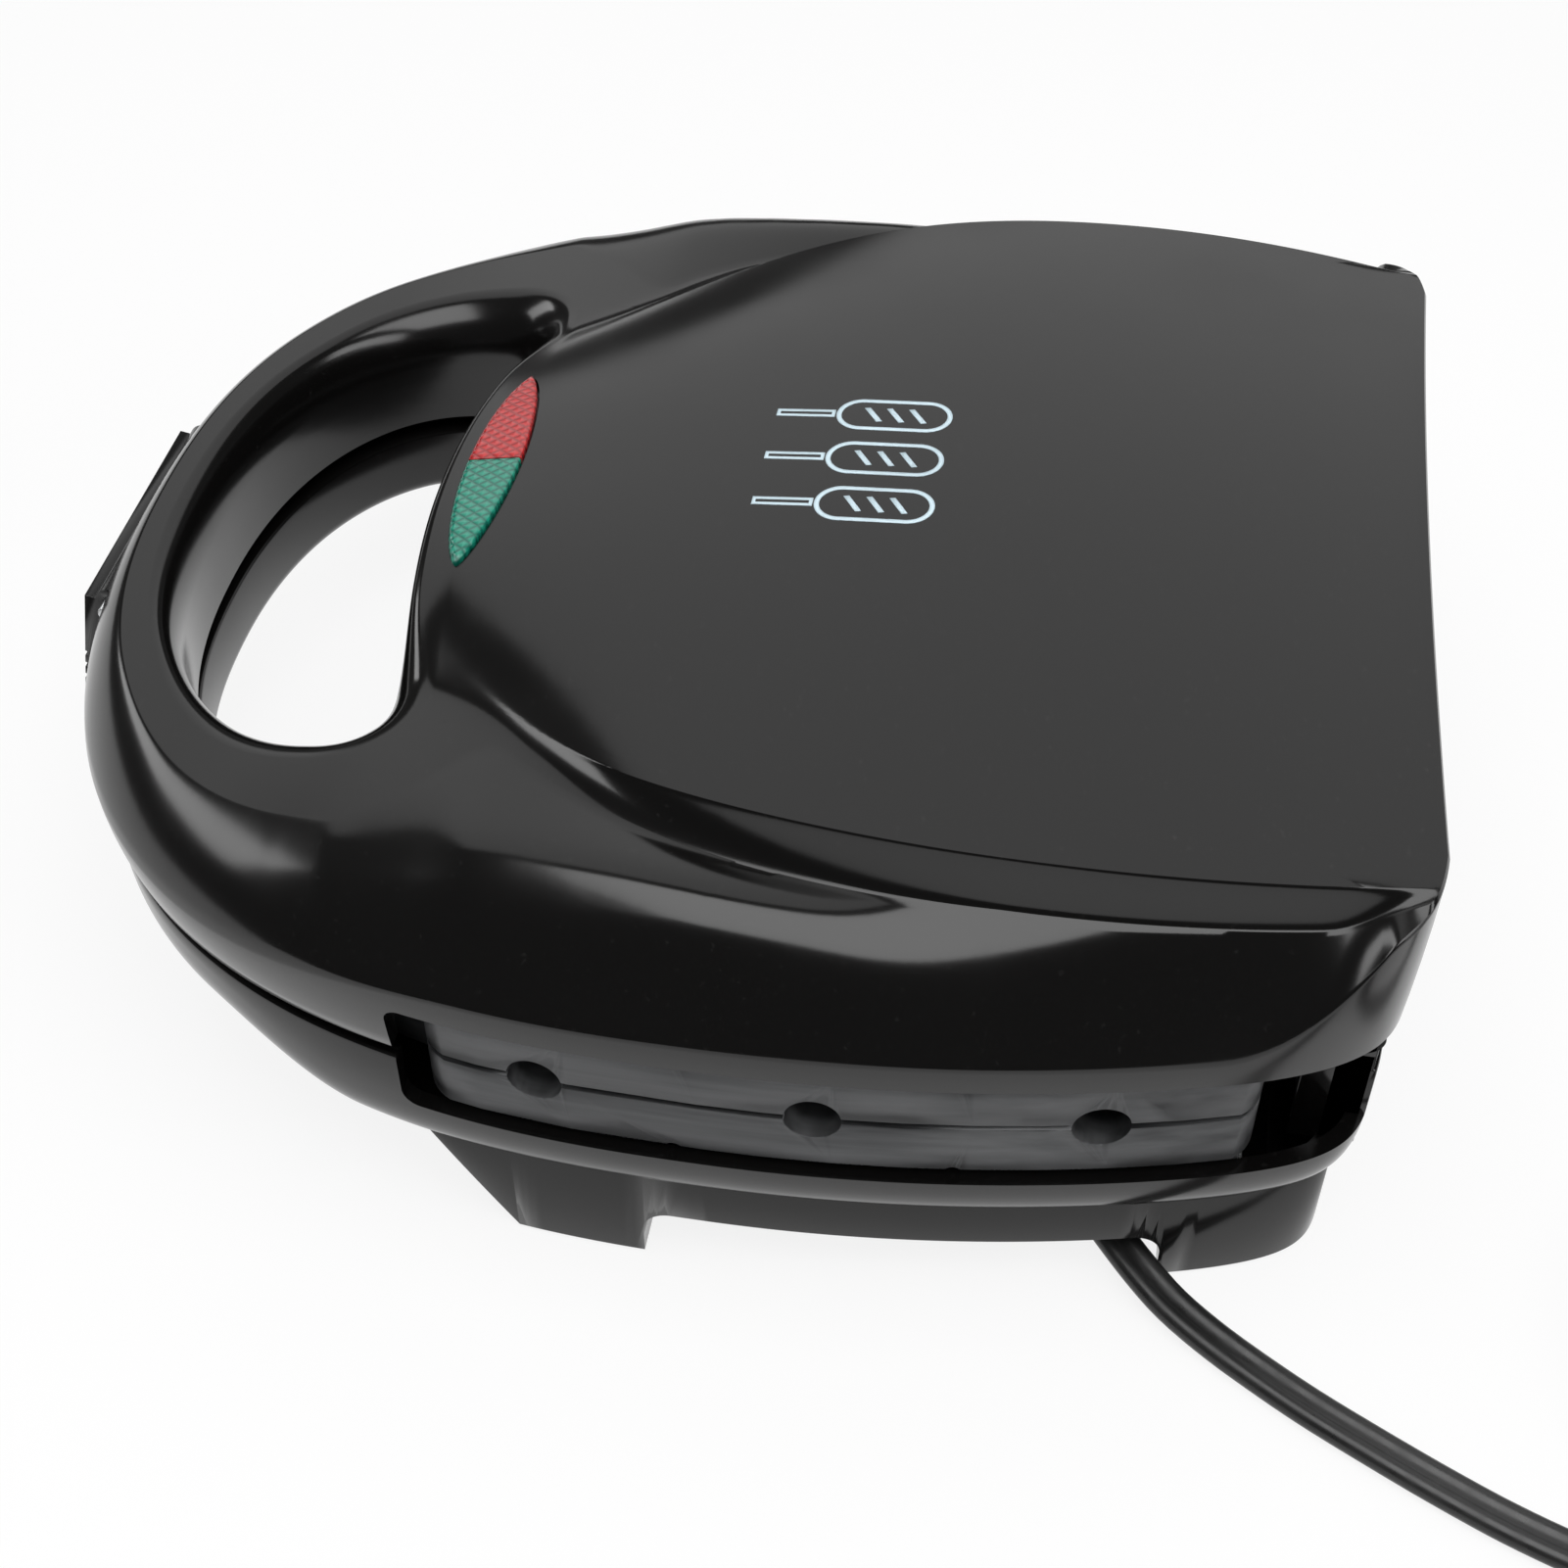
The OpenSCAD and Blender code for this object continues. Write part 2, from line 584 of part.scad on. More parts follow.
// How far the wide part of a plate stays behind the front of the openings, and its corners
plate_back = 3.4;
plate_round = 8;
screw_head = 1.8;
head_r = 3.4;
element_r = 3.2;
element_z = -plate_rim - 1;
element_bend = cavity_pitch / 2;
element_x = cavity_out - 18;
element_end = cavity_out - 2;
rod_r = 1.2;
rod_l = 9;
module element_rods(len, r) {
    for (k = [-1, 1]) translate([element_end, cavity_y + k * element_bend, element_z]) rotate([0, 90, 0])
        cylinder(h = len, r = r);
}
module element_path(r) {
    translate([0, cavity_y, element_z]) {
        for (k = [-1, 1]) translate([-element_x, k * element_bend, 0]) rotate([0, 90, 0])
            cylinder(h = element_x + element_end, r = r);
        translate([-element_x, 0, 0]) rotate([0, 0, 90])
            rotate_extrude(angle = 180) translate([element_bend, 0]) circle(r = r);
    }
}
module on_lower() {
    translate([0, 0, plate_low]) children();
}
module on_upper() {
    translate([0, 0, plate_high]) mirror([0, 0, 1]) children();
}
module lower_plate() {
    color(plate_grey) on_lower() plate();
}
module upper_plate() {
    color(plate_grey) on_upper() plate();
}

// Tubular element with a thin terminal rod out of each end
module element() {
    element_path(element_r);
    element_rods(rod_l, rod_r);
}
module lower_element() {
    color("#6d675f") on_lower() element();
}
module upper_element() {
    color("#6d675f") on_upper() element();
}

module post_clear(z0, z1) {
    for (y = posts) translate([0, y, z0]) cylinder(h = z1 - z0, r = post_r + 0.2);
}
module lower_heat_shield() {
    color(steel) difference() {
        intersection() {
            body_prism(tub_inset + wall + 1.5, cavity_front + 1.5, lower_shield_z - shield_t, lower_shield_z);
            translate([-half_w, front_y, 0]) cube([2 * half_w, plate_rear - front_y, 60]);
        }
        post_clear(lower_shield_z - 3, lower_shield_z + 3);
    }
}
module upper_heat_shield() {
    color(steel) difference() {
        intersection() {
            panel_prism(4, cavity_front + 1.5, upper_shield_z, upper_shield_z + shield_t);
            translate([-half_w, front_y, 0]) cube([2 * half_w, plate_rear - front_y, 90]);
        }
        post_clear(upper_shield_z - 3, upper_shield_z + 3);
    }
}

// Screws that hold a plate to its posts
module plate_screws() {
    for (y = posts) translate([0, y, 0]) difference() {
        union() {
            translate([0, 0, -screw_head]) cylinder(h = screw_head - 0.3, r = head_r);
            translate([0, 0, -plate_rim - 8]) cylinder(h = plate_rim + 8 - screw_head, r = screw_r);
        }
        for (a = [0, 90]) rotate([0, 0, a]) translate([-2, -0.5, -1.2]) cube([4, 1, 3]);
    }
}
module lower_plate_screws() {
    color(steel) on_lower() plate_screws();
}
module upper_plate_screws() {
    color(steel) on_upper() plate_screws();
}

module hinge_pins() {
    x0 = column_x - ear_gap - ear_w + 1;
    color(steel) both_sides() pin_hole(x0, column_x + column_w - 0.8 - x0, pin_r);
}

// Latch, drawn hooked and then swung out about its pin
module latch() {
    face = latch_y - latch_in - 1.3;
    hook = 2;
    color(black) translate([0, latch_y, latch_z]) rotate([-latch_swing, 0, 0])
        translate([0, -latch_y, -latch_z]) difference() {
            union() {
                translate([-latch_w / 2, latch_y, latch_z]) rotate([0, 90, 0])
                    cylinder(h = latch_w, r = latch_barrel);
                translate([-latch_w / 2, face, hook_z])
                    cube([latch_w, latch_t, latch_len]);
                translate([-latch_w / 2, face, hook_z])
                    cube([latch_w, latch_y + hook - face, hook_h]);
                translate([-latch_w / 2, face + latch_t - 0.2, latch_z - 6]) cube([latch_w, 1.5, 6]);
            }
            translate([-latch_w / 2 - slop, latch_y, latch_z]) rotate([0, 90, 0])
                cylinder(h = latch_w + 2 * slop, r = latch_pin_r + running);
            for (k = [0 : 2]) translate([-latch_w / 2 - slop, face, hook_z + 4 + 3 * k]) rotate([0, 90, 0])
                cylinder(h = latch_w + 2 * slop, r = 0.6);
        }
}
module latch_pin() {
    color(steel) translate([-latch_w / 2 - 3.5, latch_y, latch_z]) rotate([0, 90, 0])
        cylinder(h = latch_w + 7, r = latch_pin_r);
}

module half_leaf(side) {
    intersection() {
        leaf(0, -lens_t, lens_crown);
        translate([side > 0 ? 0.15 : -lens_half - 5, lens_y - 20, lens_z - 20])
            cube([lens_half + 4.85, 40, 40]);
    }
}
module red_lens() {
    color("#c3262b") half_leaf(-1);
}
module green_lens() {
    color("#2f8f5b") half_leaf(1);
}

// Two neon lamps in a holder against the lid's ceiling
lamp_r = 2.3;
panel_wall = 2;
holder_d = 7;
holder_y = max(cavity_front, panel_front(panel_wall + nose_w)) + 0.3;
lamp_at = [10, holder_y + 3.3];
module lamp_holder() {
    color("#d8d4c8") difference() {
        translate([-holder_w, holder_y, upper_shield_z + shield_t + 0.4])
            cube([2 * holder_w, holder_d, lid_ceiling - upper_shield_z - shield_t - 0.4]);
        both_sides() translate([lamp_at[0], lamp_at[1], upper_shield_z]) cylinder(h = 20, r = lamp_r);
    }
}
module lamp(side) {
    low = upper_shield_z + shield_t + 0.4;
    h = lid_ceiling - 0.3 - lamp_r - low;
    translate([side * lamp_at[0], lamp_at[1], low]) {
        cylinder(h = h, r = lamp_r);
        translate([0, 0, h]) sphere(r = lamp_r);
    }
}
module power_lamp() {
    color("#e8c9b0") lamp(-1);
}
module ready_lamp() {
    color("#e8c9b0") lamp(1);
}

// Disc thermostat under the lower plate, held by a strap
stat_r = 8;
stat_h = 8;
strap_t = 1;
strap_w = 8;
module thermostat() {
    color("#3a3a3c") translate([0, cavity_y, lower_back - stat_h]) {
        cylinder(h = stat_h, r = stat_r);
        for (k = [-1, 1]) translate([k * 3.5 - 0.4, -stat_r - 5, stat_h / 2 - 2]) cube([0.8, 6, 4]);
    }
}
module thermostat_bracket() {
    x = stat_r + 2;
    color(steel) translate([0, cavity_y, lower_back - stat_h - strap_t]) {
        translate([-x - strap_t, -strap_w / 2, 0]) cube([2 * (x + strap_t), strap_w, strap_t]);
        both_sides() translate([x, -strap_w / 2, 0]) cube([strap_t, strap_w, stat_h + strap_t]);
    }
}
fuse_x = 22;
fuse_l = 30;
fuse_r = 2.5;
fuse_wire = 6;
module thermal_fuse() {
    color("#d9d6cc") translate([fuse_x, cavity_y - element_bend, lower_shield_z + fuse_r]) rotate([0, 90, 0]) {
        cylinder(h = fuse_l, r = fuse_r);
        translate([0, 0, -fuse_wire]) cylinder(h = fuse_l + 2 * fuse_wire, r = fuse_r / 4);
    }
}
terminals = [30, 13];
terminal_r = 2;
terminal_deep = 10;
module terminal_block() {
    color("#e4e1d6") translate([fuse_x, plate_rear - terminals[1] - 1, tub_z + floor_t]) difference() {
        cube([terminals[0], terminals[1], lower_shield_z - shield_t - tub_z - floor_t - 0.4]);
        for (k = [-1 : 1]) translate([terminals[0] * (0.5 + k / 3), terminals[1] / 2, terminal_r])
            cylinder(h = terminal_deep, r = terminal_r);
    }
}
module foot_pads() {
    color("#2a2a2b") both_sides() for (p = pads) translate([p[0], p[1], 0]) cylinder(h = pad_h, r = pad_r);
}

module strain_relief() {
    color("#1d1d1e") cord_frame() translate([0, 0, relief_z]) rotate([0, 90, 0]) {
        translate([0, 0, -relief_in]) cylinder(h = relief_in, r = relief_r);
        cylinder(h = 2, r = relief_r + 0.6);
        translate([0, 0, 2]) cylinder(h = relief_len - 2, r1 = relief_r + 0.2, r2 = cord_w / 2 + 0.3);
    }
}

// Flat cord: a section of n corners carried along a route
function corner_of(k, n) = let (a = 360 * (k + 0.5) / n, g = 1 / cos(180 / n)) [cos(a) * g, sin(a) * g];
function heading(route, i) = unit(route[min(i + 1, len(route) - 1)] - route[max(i - 1, 0)]);
module tube(route, n) {
    rings = len(route);
    points = [for (i = [0 : rings - 1])
        let (t = heading(route, i), s = unit([-t[1], t[0], 0]), u = cross(t, s))
        for (k = [0 : n - 1]) let (c = corner_of(k, n))
            route[i] + s * c[0] * cord_w / 2 + u * c[1] * cord_t / 2];
    sides = [for (i = [0 : rings - 2]) for (k = [0 : n - 1]) for (half = [0, 1])
        let (a = i * n + k, b = i * n + (k + 1) % n, c = a + n, d = b + n)
        half == 0 ? [a, d, b] : [a, c, d]];
    ends = [[for (k = [0 : n - 1]) k], [for (k = [n - 1 : -1 : 0]) (rings - 1) * n + k]];
    polyhedron(points, concat(sides, ends));
}
lead_dir = [cos(block_turn), sin(block_turn), 0];
lead_start = [block_at[0], block_at[1], relief_z] + lead_dir * relief_len;
coil_z = 2.75;
coil_layer = cord_t + 0.7;
coil_start = [half_w + 33, 205, coil_z];
// Places of the lead on the table, with X from the housing's side
lead_places = [[-19, 84, 5.6], [-13, 89.5, 4.4], [-8, 95, 3.2], [-3, 102, 2.4], [2, 110, 2],
    [7, 118.5, 1.9], [12, 128, 1.9], [17, 138, 1.9], [22, 149, 1.9], [26, 160, 1.9], [29, 171, 1.9],
    [31, 182, 2.1], [32.5, 192, 2.4], [33, 198, coil_z]];
lead_route = concat(
    [lead_start, lead_start + lead_dir * 8],
    [for (p = lead_places) p + [half_w, 0, 0]],
    [coil_start]);
coil_r = 46;
coil_turns = 2.25;
coil_pitch = cord_w + 3.5;
plug_run = 30;
coil_mid = [coil_start[0] - coil_r, coil_start[1] + cord_w, 0];
coil_steps = 24 * coil_turns;
function coil_point(i) = let (
        turn = i / 24,
        back = coil_turns / 2,
        r = coil_r - coil_pitch * (back - abs(turn - back)),
        z = coil_z + coil_layer * ease((turn - back + 0.2) / 0.4))
    coil_mid + [r * cos(360 * turn), r * sin(360 * turn), z];
coil_end = coil_point(coil_steps) - [plug_run, 0, 0];
coil_route = concat([coil_start], [for (i = [0 : coil_steps]) coil_point(i)], [coil_end]);
function self_gap(a, b) = max(norm([a[0] - b[0], a[1] - b[1]]) - cord_w, abs(a[2] - b[2]) - cord_t);
least_gap = min([for (i = [0 : coil_steps]) for (k = [i + 12 : 1 : coil_steps])
    self_gap(coil_point(i), coil_point(k))]);
echo(least_gap_in_the_coil = least_gap);
module cord_lead() {
    color("#1a1a1b") tube(lead_route, 8);
}
module cord_coil() {
    color("#1a1a1b") tube(coil_route, 8);
}

// Tie round the coil, where one turn lies on the other
tie_turn = 200 / 360;
tie_t = 0.8;
tie_w = 5;
module cord_tie() {
    low = coil_point(24 * tie_turn);
    high = coil_point(24 * (tie_turn + 1));
    ra = norm([low[0] - coil_mid[0], low[1] - coil_mid[1]]);
    rb = norm([high[0] - coil_mid[0], high[1] - coil_mid[1]]);
    room = 0.7;
    r0 = min(ra, rb) - cord_w / 2 - room;
    r1 = max(ra, rb) + cord_w / 2 + room;
    z0 = coil_z - cord_t / 2 - 0.05;
    z1 = coil_z + coil_layer + cord_t / 2 + 0.05;
    color("#e9e7e1") translate(coil_mid) rotate([0, 0, 360 * tie_turn]) difference() {
        translate([r0 - tie_t, -tie_w / 2, z0 - tie_t])
            cube([r1 - r0 + 2 * tie_t, tie_w, z1 - z0 + 2 * tie_t]);
        translate([r0, -tie_w, z0]) cube([r1 - r0, 2 * tie_w, z1 - z0]);
    }
}

// Two-blade plug lying on its wide side
plug_w = 24;
plug_l = 26;
plug_neck = 20;
blade_gap = 12.7;
module plug_body() {
    hw = plug_w / 2;
    color("#1a1a1b") translate([coil_end[0] - 0.2, coil_end[1], 0]) rotate([0, 0, 180]) {
        linear_extrude(2 * coil_end[2]) polygon([[plug_neck, -hw + 3], [plug_neck + 4, -hw],
            [plug_neck + plug_l - 2, -hw], [plug_neck + plug_l, -hw + 2], [plug_neck + plug_l, hw - 2],
            [plug_neck + plug_l - 2, hw], [plug_neck + 4, hw], [plug_neck, hw - 3]]);
        translate([0, 0, coil_end[2]]) rotate([0, 90, 0])
            cylinder(h = plug_neck + 1, r1 = cord_w / 2 + 0.3, r2 = coil_end[2] - 0.6);
    }
}
blade = [16, 1.5, 6.3];
module plug_blades() {
    color("#c9ccd0") translate(coil_end - [0.2, 0, 0]) rotate([0, 0, 180]) for (k = [-1, 1])
        translate([plug_neck + plug_l, k * blade_gap / 2 - blade[1] / 2, -blade[2] / 2]) cube(blade);
}

// The housing and its latch stand with the middle of their box over the origin
part_y = -2.5;
module placed() {
    translate([0, part_y, 0]) children();
}

placed() lid_shell();
placed() base_shell();
placed() upper_plate();
placed() lower_plate();
placed() upper_element();
placed() lower_element();
placed() upper_heat_shield();
placed() lower_heat_shield();
placed() upper_plate_screws();
placed() lower_plate_screws();
placed() hinge_pins();
placed() latch();
placed() latch_pin();
placed() red_lens();
placed() green_lens();
placed() lamp_holder();
placed() power_lamp();
placed() ready_lamp();
placed() thermostat();
placed() thermostat_bracket();
placed() thermal_fuse();
placed() terminal_block();
placed() foot_pads();
placed() strain_relief();
placed() cord_lead();
placed() cord_coil();
placed() cord_tie();
placed() plug_body();
placed() plug_blades();
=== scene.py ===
"""Looks of a countertop corn dog maker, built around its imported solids.

All lengths are in metres, in the frame of the solids: +Z is up, the handle points to -Y, the hinge is
at +Y, and the housing is the same on both sides of X = 0. The curves of the housing and the cord's route
are drawn in millimetres about a zero of their own, PART_Y from the origin.
"""

from __future__ import annotations

import logging
import math
from dataclasses import dataclass
from enum import Enum
from typing import Callable, Iterable, Sequence

import bmesh
import bpy
import numpy as np
from mathutils import Matrix, Vector


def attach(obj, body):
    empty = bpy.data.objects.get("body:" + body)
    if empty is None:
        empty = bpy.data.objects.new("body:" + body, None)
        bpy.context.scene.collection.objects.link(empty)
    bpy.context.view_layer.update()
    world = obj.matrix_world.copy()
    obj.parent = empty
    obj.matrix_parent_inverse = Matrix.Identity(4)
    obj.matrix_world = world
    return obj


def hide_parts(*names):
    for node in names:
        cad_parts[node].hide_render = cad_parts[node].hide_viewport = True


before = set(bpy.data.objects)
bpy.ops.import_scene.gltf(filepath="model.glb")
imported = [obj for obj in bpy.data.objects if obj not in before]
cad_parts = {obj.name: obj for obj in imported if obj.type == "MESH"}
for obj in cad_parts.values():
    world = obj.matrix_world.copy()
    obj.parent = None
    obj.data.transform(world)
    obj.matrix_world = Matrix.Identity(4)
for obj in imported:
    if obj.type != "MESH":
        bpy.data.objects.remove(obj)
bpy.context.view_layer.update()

log = logging.getLogger("corn_dog_maker")
logging.basicConfig(level=logging.INFO, format="%(message)s")

MM = 0.001
PART_Y = -2.5 * MM
PHOTO_SIDE_PX = 1601
Array = np.ndarray


class Body(Enum):
    """The bodies that move against each other."""

    BASE = "base"
    LID = "lid"
    LATCH = "latch"


class Side(Enum):
    """The two sides of the housing."""

    LEFT = -1
    RIGHT = 1


def ease(t: Array) -> Array:
    """Smooth step from 0 to 1 for t from 0 to 1."""
    c = np.clip(t, 0.0, 1.0)
    return c * c * (3.0 - 2.0 * c)


def lerp(a: Array, b: Array, t: Array) -> Array:
    """Straight blend from a to b."""
    return a + (b - a) * t


def between(a: Array, b: Array, t: Array) -> Array:
    """Blend of two rows of plan points, with a share for each point."""
    share = np.broadcast_to(np.asarray(t, float), a.shape[:1])
    return a + (b - a) * share[:, None]


def lifted(plan: Array, height: Array) -> Array:
    """Plan points at the given heights, as points in space."""
    return np.column_stack([plan, np.broadcast_to(height, plan.shape[:1])])


# Mesh helpers


def mesh_object(name: str, points: Sequence, faces: Sequence, smooth: bool = True) -> bpy.types.Object:
    """Object at the origin with a mesh of the given points and faces.

    Args:
        name: Name of the object and its mesh.
        points: Points in metres.
        faces: Lists of point numbers.
        smooth: Whether the faces are shaded smooth.

    Returns:
        The new object, linked to the scene.
    """
    mesh = bpy.data.meshes.new(name)
    mesh.from_pydata([tuple(map(float, p)) for p in points], [], [tuple(map(int, f)) for f in faces])
    mesh.validate()
    mesh.polygons.foreach_set("use_smooth", [smooth] * len(mesh.polygons))
    obj = bpy.data.objects.new(name, mesh)
    bpy.context.scene.collection.objects.link(obj)
    return obj


def grid_faces(rows: int, columns: int, close_rows: bool, close_columns: bool) -> list[tuple[int, ...]]:
    """Quads of a grid of points stored row by row.

    Args:
        rows: Number of rows.
        columns: Points in a row.
        close_rows: Whether the last row joins the first.
        close_columns: Whether a row's last point joins its first.

    Returns:
        Point numbers of each quad.
    """
    faces = []
    for i in range(rows if close_rows else rows - 1):
        below, above = i * columns, ((i + 1) % rows) * columns
        for k in range(columns if close_columns else columns - 1):
            n = (k + 1) % columns
            faces.append((below + k, below + n, above + n, above + k))
    return faces


def applied(obj: bpy.types.Object) -> bpy.types.Object:
    """The object with its modifiers turned into plain mesh.

    Args:
        obj: Object with modifiers.

    Returns:
        The same object.
    """
    graph = bpy.context.evaluated_depsgraph_get()
    mesh = bpy.data.meshes.new_from_object(obj.evaluated_get(graph), depsgraph=graph)
    obj.modifiers.clear()
    obj.data = mesh
    return obj


def remove(*objects: bpy.types.Object) -> None:
    """Deletes helper objects."""
    for obj in objects:
        bpy.data.objects.remove(obj, do_unlink=True)


def cut(target: bpy.types.Object, *tools: bpy.types.Object) -> None:
    """Cuts the tools out of the target and deletes them.

    Args:
        target: Object that is cut.
        tools: Closed cutters.
    """
    for tool in tools:
        modifier = target.modifiers.new("cut", "BOOLEAN")
        modifier.operation = "DIFFERENCE"
        modifier.solver = "EXACT"
        modifier.object = tool
        applied(target)
        remove(tool)


def joined(name: str, parts: Iterable[bpy.types.Object]) -> bpy.types.Object:
    """One object that holds the meshes of all parts; the parts are deleted.

    Args:
        name: Name of the new object.
        parts: Objects to join.

    Returns:
        The new object, linked to the scene.
    """
    bm = bmesh.new()
    parts = list(parts)
    for part in parts:
        bm.from_mesh(part.data)
    mesh = bpy.data.meshes.new(name)
    bm.to_mesh(mesh)
    bm.free()
    remove(*parts)
    obj = bpy.data.objects.new(name, mesh)
    bpy.context.scene.collection.objects.link(obj)
    return obj


def outward(obj: bpy.types.Object) -> bpy.types.Object:
    """The object with doubles merged and its faces turned outwards.

    Args:
        obj: Object with a closed mesh.

    Returns:
        The same object.
    """
    bm = bmesh.new()
    bm.from_mesh(obj.data)
    bmesh.ops.remove_doubles(bm, verts=bm.verts, dist=1e-6)
    bmesh.ops.recalc_face_normals(bm, faces=bm.faces)
    bm.to_mesh(obj.data)
    bm.free()
    return obj


def sharpened(obj: bpy.types.Object, degrees: float) -> bpy.types.Object:
    """Shades the object smooth, with edges over the angle kept sharp.

    Args:
        obj: Object to shade.
        degrees: Angle past which an edge stays sharp.

    Returns:
        The same object.
    """
    mesh = obj.data
    mesh.polygons.foreach_set("use_smooth", [True] * len(mesh.polygons))
    mesh.set_sharp_from_angle(angle=math.radians(degrees))
    return obj


def bevelled(obj: bpy.types.Object, width: float, degrees: float = 35.0) -> bpy.types.Object:
    """Rounds the object's edges over the angle.

    Args:
        obj: Object to round.
        width: Width of the rounding.
        degrees: Angle past which an edge is rounded.

    Returns:
        The same object.
    """
    modifier = obj.modifiers.new("edge", "BEVEL")
    modifier.width = width
    modifier.segments = 2
    modifier.limit_method = "ANGLE"
    modifier.angle_limit = math.radians(degrees)
    modifier.harden_normals = True
    return applied(obj)


def box(name: str, low: Sequence[float], high: Sequence[float]) -> bpy.types.Object:
    """Box between two corners.

    Args:
        name: Name of the box.
        low: Corner of least values.
        high: Corner of most values.

    Returns:
        The box.
    """
    x, y, z = zip(low, high)
    points = [(x[i], y[j], z[k]) for k in (0, 1) for j in (0, 1) for i in (0, 1)]
    faces = [(0, 2, 3, 1), (4, 5, 7, 6), (0, 1, 5, 4), (2, 6, 7, 3), (0, 4, 6, 2), (1, 3, 7, 5)]
    return mesh_object(name, points, faces, smooth=False)


def prism(name: str, outline: Array, low: float, high: float) -> bpy.types.Object:
    """Upright prism of a plan outline that runs anticlockwise.

    Args:
        name: Name of the prism.
        outline: Plan points.
        low: Height of its foot.
        high: Height of its top.

    Returns:
        The closed prism.
    """
    n = len(outline)
    points = np.vstack([lifted(outline, low), lifted(outline, high)])
    faces = [(i, (i + 1) % n, n + (i + 1) % n, n + i) for i in range(n)]
    faces += [tuple(range(n - 1, -1, -1)), tuple(range(n, 2 * n))]
    return mesh_object(name, points, faces, smooth=False)


def rod(
    name: str, start: Sequence[float], end: Sequence[float], radius: float, sides: int = 48
) -> bpy.types.Object:
    """Closed cylinder from one point to another.

    Args:
        name: Name of the rod.
        start: Middle of its first end.
        end: Middle of its other end.
        radius: Its radius.
        sides: Number of its sides.

    Returns:
        The closed rod.
    """
    a, b = Vector(start), Vector(end)
    turn = (b - a).to_track_quat("Z", "Y").to_matrix()
    points = []
    for centre in (a, b):
        for k in range(sides):
            t = 2 * math.pi * k / sides
            points.append(centre + turn @ Vector((radius * math.cos(t), radius * math.sin(t), 0)))
    faces = [(k, (k + 1) % sides, sides + (k + 1) % sides, sides + k) for k in range(sides)]
    faces += [tuple(range(sides - 1, -1, -1)), tuple(range(sides, 2 * sides))]
    return mesh_object(name, points, faces, smooth=False)


def node_copy(node: str, name: str) -> bpy.types.Object:
    """Merged copy of a CAD node's mesh as a piece of its own.

    Args:
        node: Name of the CAD node.
        name: Name of the copy.

    Returns:
        The copy, linked to the scene.
    """
    obj = bpy.data.objects.new(name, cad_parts[node].data.copy())
    obj.data.materials.clear()
    bpy.context.scene.collection.objects.link(obj)
    bm = bmesh.new()
    bm.from_mesh(obj.data)
    bmesh.ops.remove_doubles(bm, verts=bm.verts, dist=1e-6)
    bmesh.ops.dissolve_limit(bm, angle_limit=math.radians(0.5), verts=bm.verts, edges=bm.edges)
    bm.to_mesh(obj.data)
    bm.free()
    return obj


def placed(obj: bpy.types.Object) -> bpy.types.Object:
    """Moves a piece drawn about the housing's zero into the frame of the solids."""
    obj.data.transform(Matrix.Translation((0, PART_Y, 0)))
    return obj


def seat(obj: bpy.types.Object, body: Body, slot: str, material: bpy.types.Material, *nodes: str) -> None:
    """Gives a piece its finish, its body and the CAD nodes that it stands for.

    Args:
        obj: The piece.
        body: Body that it moves with.
        slot: Not used.
        material: The finish.
        nodes: CAD nodes that it stands for.
    """
    obj.data.materials.clear()
    obj.data.materials.append(material)
    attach(obj, body.value)
    if nodes:
        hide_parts(*nodes)
    log.info("%s: %d faces, rides on %s", obj.name, len(obj.data.polygons), body.value)


# Finishes


